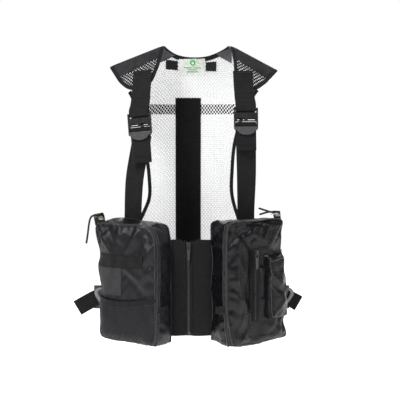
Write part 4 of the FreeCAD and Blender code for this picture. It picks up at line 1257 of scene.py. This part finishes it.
def pouch_zip(side):
    """The coil zip: a sunken tape with its coil, and a lip of cloth on each side."""
    tree = trees[side]
    spots, normals = [], []
    for s, d, z in curve_through(ZIP_LINE[side], 3.0):
        place, normal, _, _ = tree.find_nearest(at_pouch(side, s, d, z))
        spots.append(place / MM)
        normals.append(normal)
    for _ in range(4):
        normals = [(normals[max(i - 1, 0)] + n * 2 + normals[min(i + 1, len(normals) - 1)])
                   .normalized() for i, n in enumerate(normals)]
        spots = [spots[i] if i in (0, len(spots) - 1) else
                 (spots[i - 1] + spots[i] * 2 + spots[i + 1]) / 4 for i in range(len(spots))]
    across = []
    for i, n in enumerate(normals):
        way = (spots[min(i + 1, len(spots) - 1)] - spots[max(i - 1, 0)]).normalized()
        across.append(n.cross(way).normalized())
    body = side + "_front"
    base = [p + n * 0.5 for p, n in zip(spots, normals)]
    ribbon(side + "_zip_tape", base, across, 12, 1.6, zip_tape, body, [side + "_pouch_zip"],
           columns=4)
    verts, faces, uvs = [], [], []
    runs = np.concatenate([[0], np.cumsum([(b - a).length for a, b in zip(base, base[1:])])])
    where = 1.0
    data = np.array([list(p) + list(a) + list(n) for p, a, n in zip(base, across, normals)])
    while where < runs[-1] - 1:
        row = [float(np.interp(where, runs, data[:, k])) for k in range(9)]
        p, a, n = Vector(row[:3]), Vector(row[3:6]), Vector(row[6:9])
        way = a.cross(n)
        add_turn(verts, faces, uvs,
                 ((-2.1, 0.5, 0.3), (-1.2, 1.5, 0.55), (1.2, 1.5, 0.55), (2.1, 0.5, 0.3)),
                 lambda c, h, f: (p + a * c + n * h + way * f) * MM, where)
        where += COIL_PITCH
    make(side + "_zip_coil", verts, faces, uvs, teeth, body, (), side + "_pouch_zip")
    for name, out in (("inner", -1), ("outer", 1)):
        lip = [p + a * (5.4 * out) + n * 0.9 for p, a, n in zip(spots, across, normals)]
        tube("%s_zip_lip_%s" % (side, name), lip, 1.7, trim, body, slot=side + "_pouch_gusset",
             sides=8)
        seam = [p + a * (8.6 * out) + n * 0.35 for p, a, n in zip(spots, across, normals)]
        stitches("%s_zip_seam_%s" % (side, name), seam, normals, dark_thread, body,
                 side + "_pouch_gusset", 2.4, 4.0, 0.3, 0.1)


for side in POUCH:
    pouch_zip(side)
    for name, loop, depth in (("back", BACK_LOOP[side], 2.0), ("front", FRONT_LOOP[side], 78.5)):
        edge = []
        for p in curve_through([(s, z, 0) for s, z in loop], 5, True):
            place, normal, _, _ = trees[side].find_nearest(at_pouch(side, p.x, depth, p.y))
            edge.append(place / MM + normal * 0.2)
        edge = [(edge[i - 1] + edge[i] * 2 + edge[(i + 1) % len(edge)]) / 4
                for i in range(len(edge))]
        tube("%s_%s_piping" % (side, name), edge, 1.25, trim, side + "_front",
             slot=side + "_pouch_" + name, closed=True)


def strip_shape(a, b):
    return 26 + 128 * a, -505.5 - 27.5 * b - 1.2 * math.sin(math.pi * a)


TACKS = (0.07, 0.30, 0.56, 0.80)


def strip_rise(a, b):
    near = min(abs(a - t) for t in TACKS + (0.0, 1.0))
    return 1.3 + 1.1 * min(near / 0.10, 1.0) ** 0.7 * (1 - 0.15 * math.cos(6.3 * b))


slab("strip_webbing", on_front("left", strip_shape), 48, 6, lambda a, b: strip_rise(a, b) - 1.9,
     strip_rise, webbing, "left_front", ["daisy_strip"],
     uv=lambda a, b: (0.027 * b, 0.128 * a))
for number, share in enumerate(TACKS):
    spots, normals = [], []
    for k in range(15):
        b = k / 14
        s, z = strip_shape(share + 0.006 * (-1) ** k, 0.06 + 0.88 * b)
        spots.append(at_pouch("left", s, front_depth("left", s, z) + 1.7, z) / MM)
        normals.append(forward("left"))
    stitches("strip_tack_%d" % number, spots, normals, dark_thread, "left_front", "daisy_strip",
             1.6, 1.9, 0.4, 0.1)


def patch_shape(a, b):
    return 82 + 71 * a, -535.5 - 64 * b


slab("patch_loops", on_front("left", patch_shape), 18, 16, -0.6,
     lambda a, b: 1.3 + 0.25 * noise.noise(Vector((a * 5, b * 5, 2))), loop_patch, "left_front",
     ["loop_patch"], uv=flat_uv(patch_shape))
for number, (a0, b0, a1, b1) in enumerate(((0.03, 0.03, 0.97, 0.03), (0.03, 0.97, 0.97, 0.97),
                                           (0.03, 0.03, 0.03, 0.97), (0.97, 0.03, 0.97, 0.97))):
    spots = []
    for k in range(18):
        s, z = patch_shape(a0 + (a1 - a0) * k / 17, b0 + (b1 - b0) * k / 17)
        spots.append(at_pouch("left", s, front_depth("left", s, z) + 1.5, z) / MM)
    stitches("patch_seam_%d" % number, spots, [forward("left")] * 18, dark_thread, "left_front",
             "loop_patch", 2.2, 3.2, 0.3, 0.1)

POCKET_TOP = [(2, -606), (15, -603.5), (46, -609.5), (86, -612.5), (125, -610), (153, -603)]
pocket_line = curve_through([(s, z) for s, z in POCKET_TOP], 4)
pocket_s = np.array([p[0] for p in pocket_line])
pocket_z = np.array([p[1] for p in pocket_line])


def pocket_shape(a, b):
    s = 1.5 + 151.5 * a
    top = float(np.interp(s, pocket_s, pocket_z))
    return s, top + (-708.5 + 2.5 * a - top) * b


def pocket_rise(a, b):
    edge = min(a, 1 - a) * 150
    puff = 5.0 * min(edge / 22, 1.0) * math.sin(math.pi * min(b * 1.25 + 0.12, 1.0)) ** 0.8
    pleat = 0.8 * math.sin(a * 40 + 2 * math.sin(a * 9)) * max(0.0, 1 - b * 3)
    return 1.6 + puff + pleat


slab("pocket_mesh", on_front("left", pocket_shape), 44, 30,
     lambda a, b: pocket_rise(a, b) - 0.8, pocket_rise, pocket_net, "left_front",
     ["mesh_pocket"], uv=flat_uv(pocket_shape))


def elastic_shape(a, b):
    s, top = pocket_shape(a, 0)
    return s, top + 1.5 - 11.5 * b


slab("pocket_band", on_front("left", elastic_shape), 44, 4,
     lambda a, b: pocket_rise(a, 0.06) - 1.2,
     lambda a, b: pocket_rise(a, 0.06) + 1.1 + 0.5 * math.sin(a * 150) * math.sin(math.pi * b),
     elastic, "left_front", ["pocket_elastic"], uv=lambda a, b: (0.15 * a, 0.011 * b))


# ---- bellows pocket with its upright zip
def bellows_shape(a, b):
    s = 84 + 75 * a
    top = -503 + 5 * a
    low = -655 + 3 * a
    return s + 1.5 * math.sin(b * 9) * a, top + (low - top) * b


def smooth_step(value):
    value = min(max(value, 0.0), 1.0)
    return value * value * (3 - 2 * value)


def ridge_on(s, z, s0, z0, s1, z1, wide):
    """How near a spot is to a fold line, from 0 to 1, and on which side of it."""
    way = Vector((s1 - s0, z1 - z0))
    gap = Vector((s - s0, z - z0))
    t = min(max(gap.dot(way) / way.length_squared, 0.0), 1.0)
    away = gap - way * t
    side = 1.0 if away.y > 0 else -1.0
    return math.exp(-(away.length / wide) ** 2), side * away.length


def bellows_rise(a, b):
    s, z = bellows_shape(a, b)
    rise = smooth_step((s - 92) / 9)
    drop = smooth_step((159.5 - s) / 5)
    top = smooth_step((-503 - z) / 14)
    low = smooth_step((z + 654) / 7)
    tall = 15 * rise * (0.35 + 0.65 * drop) * top * low
    near, off = ridge_on(s, z, 98, -548, 152, -588, 7)
    tall += 5.0 * near * rise * drop
    if off < 0:
        tall -= 4.5 * math.exp(-((off + 13) / 9) ** 2) * rise * drop * smooth_step((s - 96) / 8)
    near, _ = ridge_on(s, z, 104, -648, 140, -614, 6)
    tall += 3.0 * near * rise * low
    near, _ = ridge_on(s, z, 89, -536, 101, -572, 4)
    tall += 3.2 * near * top
    near, _ = ridge_on(s, z, 92, -610, 96, -640, 4)
    tall += 2.0 * near * low
    gather = max(0.0, 1 - (-503 - z) / 22)
    tall += 0.9 * gather * math.sin(s * 1.1) * top
    tall += 1.0 * noise.noise(Vector((s / 12, z / 17, 5))) * rise * top * low
    return max(tall, 0.4)


slab("bellows_cloth", on_front("right", bellows_shape), 60, 92, -1.0, bellows_rise,
     right_nylon, "right_front", ["right_front_pocket"], uv=flat_uv(bellows_shape))
for name, points in (("side", [(100.5, -516), (101.5, -560), (103, -600), (104, -648)]),
                     ("top", [(101, -520), (120, -517), (146, -515)]),
                     ("low", [(105, -647), (130, -650), (157, -649)])):
    line = []
    for p in curve_through(points, 3):
        a = (p[0] - 84) / 75
        top, low = -503 + 5 * a, -655 + 3 * a
        b = min(max((p[1] - top) / (low - top), 0.0), 1.0)
        line.append(at_pouch("right", p[0], front_depth("right", p[0], p[1])
                             + bellows_rise(a, b) + 0.1, p[1]) / MM)
    tube("bellows_piping_" + name, line, 1.1, trim, "right_front",
         slot="right_front_pocket", sides=6)


def upright_shape(a, b):
    return 66 + 17 * a, -491 - 168 * b


slab("pocket_zip_tape", on_front("right", upright_shape), 6, 42, -1.0,
     lambda a, b: 1.1 + 0.9 * math.exp(-((abs(a - 0.5) - 0.36) / 0.08) ** 2), zip_tape,
     "right_front", ["right_pocket_zip"], uv=flat_uv(upright_shape))
POCKET_ZIP_S = 74
verts, faces, uvs = [], [], []
height = -494.0
while height > -657:
    depth = front_depth("right", POCKET_ZIP_S, height) + 1.1
    add_turn(verts, faces, uvs,
             ((-2, 0.0, 0.55), (-1.1, 1.3, 0.55), (1.1, 1.3, 0.55), (2, 0.0, 0.55)),
             lambda c, h, f: at_pouch("right", POCKET_ZIP_S + c, depth + h, height + f), height)
    height -= COIL_PITCH
make("pocket_zip_coil", verts, faces, uvs, teeth, "right_front", (), "right_pocket_zip")

# ---- tabs
def between(corners, a, b):
    """A spot inside four corners: a runs along the top and b runs down."""
    p, q, r, t = [Vector(c) for c in corners]
    return p.lerp(q, a).lerp(t.lerp(r, a), b)


TABS = {"left": [(27, -624), (64, -623), (70, -636), (24, -633)],
        "right": [(30, -627), (72, -618), (72, -636), (20, -645)]}
for side, corners in TABS.items():
    def tab_place(a, b, h, side=side, corners=corners):
        spot = between(corners, a, b)
        return on_gusset(side, spot.x, spot.y, h + 1.5 * math.sin(math.pi * a))
    slab(side + "_gusset_tab_cloth", tab_place, 10, 5, -0.2, 1.5, webbing, side + "_front",
         [side + "_gusset_tab"], uv=lambda a, b: (0.018 * b, 0.04 * a))

CORNERS = {"left": [(160, -412), (186, -417), (180, -444), (154, -437)],
           "right": [(141, -407), (160, -408), (163, -430), (148, -428)]}
for side, corners in CORNERS.items():
    def corner_place(a, b, h, side=side, corners=corners):
        spot = between(corners, a, b)
        return at_pouch(side, spot.x, 52 + h + 2.5 * math.sin(3 * a) * (1 - b), spot.y)
    slab(side + "_corner_tab_cloth", corner_place, 8, 8, -0.9, 0.9, webbing, side + "_front",
         [side + "_corner_tab"], uv=lambda a, b: (0.022 * a, 0.02 * b))
    def under_place(a, b, h, side=side, corners=corners):
        spot = between(corners, a, b)
        return at_pouch(side, spot.x, 47.5 + h - 2 * math.sin(3 * a) * (1 - b)
                        + 3.2 * max(0, 1 - 5 * b), spot.y)
    slab(side + "_corner_tab_back", under_place, 8, 8, -0.9, 0.9, webbing, side + "_front", (),
         side + "_corner_tab", uv=lambda a, b: (0.022 * a, 0.02 * b))

# ---------------------------------------------------------------- pull cords
ROUTES = {
    "left": [(-15, 1, 9.2), (-18, -8, 9.6), (-19, -19, 6), (-22, -20.5, -13),
             (-23.5, -20.5, -33), (-27, -20.5, -56)],
    "right": [(-43, 9, 21), (-25, 5.5, 14.5), (-9.5, 4.8, 9.6), (-9.2, -5.6, 9.6),
              (-20, -7, 12.5), (-34, -9.5, 12), (-56, -15, 8.8)]}
SLIDERS = {"left": ((-212.430, -102.272, -428.038), -27,
                    math.degrees(math.atan2(7, 160))),
           "right": ((198.629, -107.266, -419.420), 27, -math.degrees(math.atan2(6, 161)))}
for side, route in ROUTES.items():
    origin, turn, lean = SLIDERS[side]
    matrix = (Matrix.Translation(Vector(origin) * MM)
              @ Matrix.Rotation(math.radians(turn), 4, "Z")
              @ Matrix.Rotation(math.radians(lean), 4, "Y"))
    data = bpy.data.curves.new(side + "_cord_line", "CURVE")
    data.dimensions = "3D"
    spline = data.splines.new("NURBS")
    spline.points.add(len(route) - 1)
    for point, spot in zip(spline.points, route):
        point.co = (*(matrix @ (Vector(spot) * MM)), 1.0)
    spline.order_u = 3
    spline.use_endpoint_u = True
    data.resolution_u = 12
    data.bevel_depth = 0.00225
    data.bevel_resolution = 3
    data.use_fill_caps = True
    data.materials.append(cord_skin.mat)
    cord = bpy.data.objects.new(side + "_cord", data)
    scene.collection.objects.link(cord)
    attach(cord, side + "_pull_body")
    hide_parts(side + "_pull_cord")
    tuple(matrix @ (Vector(route[0]) * MM))

# ---------------------------------------------------------------- finishes of the kept nodes
KEPT = {"left_side_slider": black_plastic, "right_side_slider": black_plastic,
        "zip_box": black_plastic, "center_slider": enamel, "center_pull": enamel,
        "pocket_slider": enamel, "pocket_pull": enamel, "left_pouch_slider": steel,
        "left_pouch_pull": steel, "right_pouch_slider": nickel, "right_pouch_pull": steel}
for name, finish in KEPT.items():
    dress(name, finish)

# ---------------------------------------------------------------- floor
ground = Finish("ground", (0.92, 0.92, 0.92), 0.9, 0.2)
ground.spots("Object")
ground.set("Emission Color", (1, 1, 1, 1))
ground.set("Emission Strength", 0.8)
ground.tint(ground.remap(ground.noise(6, 3), 0.3, 0.7, 0.0, 0.3), (0.88, 0.88, 0.88))
steps = 24
verts = [Vector((-3 + 6 * i / steps, -3 + 6 * j / steps, -0.80))
         for j in range(steps + 1) for i in range(steps + 1)]
faces = [(j * (steps + 1) + i, j * (steps + 1) + i + 1, (j + 1) * (steps + 1) + i + 1,
          (j + 1) * (steps + 1) + i) for j in range(steps) for i in range(steps)]
mesh = bpy.data.meshes.new("studio_floor")
mesh.from_pydata(verts, [], faces)
mesh.materials.append(ground.mat)
floor = bpy.data.objects.new("studio_floor", mesh)
scene.collection.objects.link(floor)
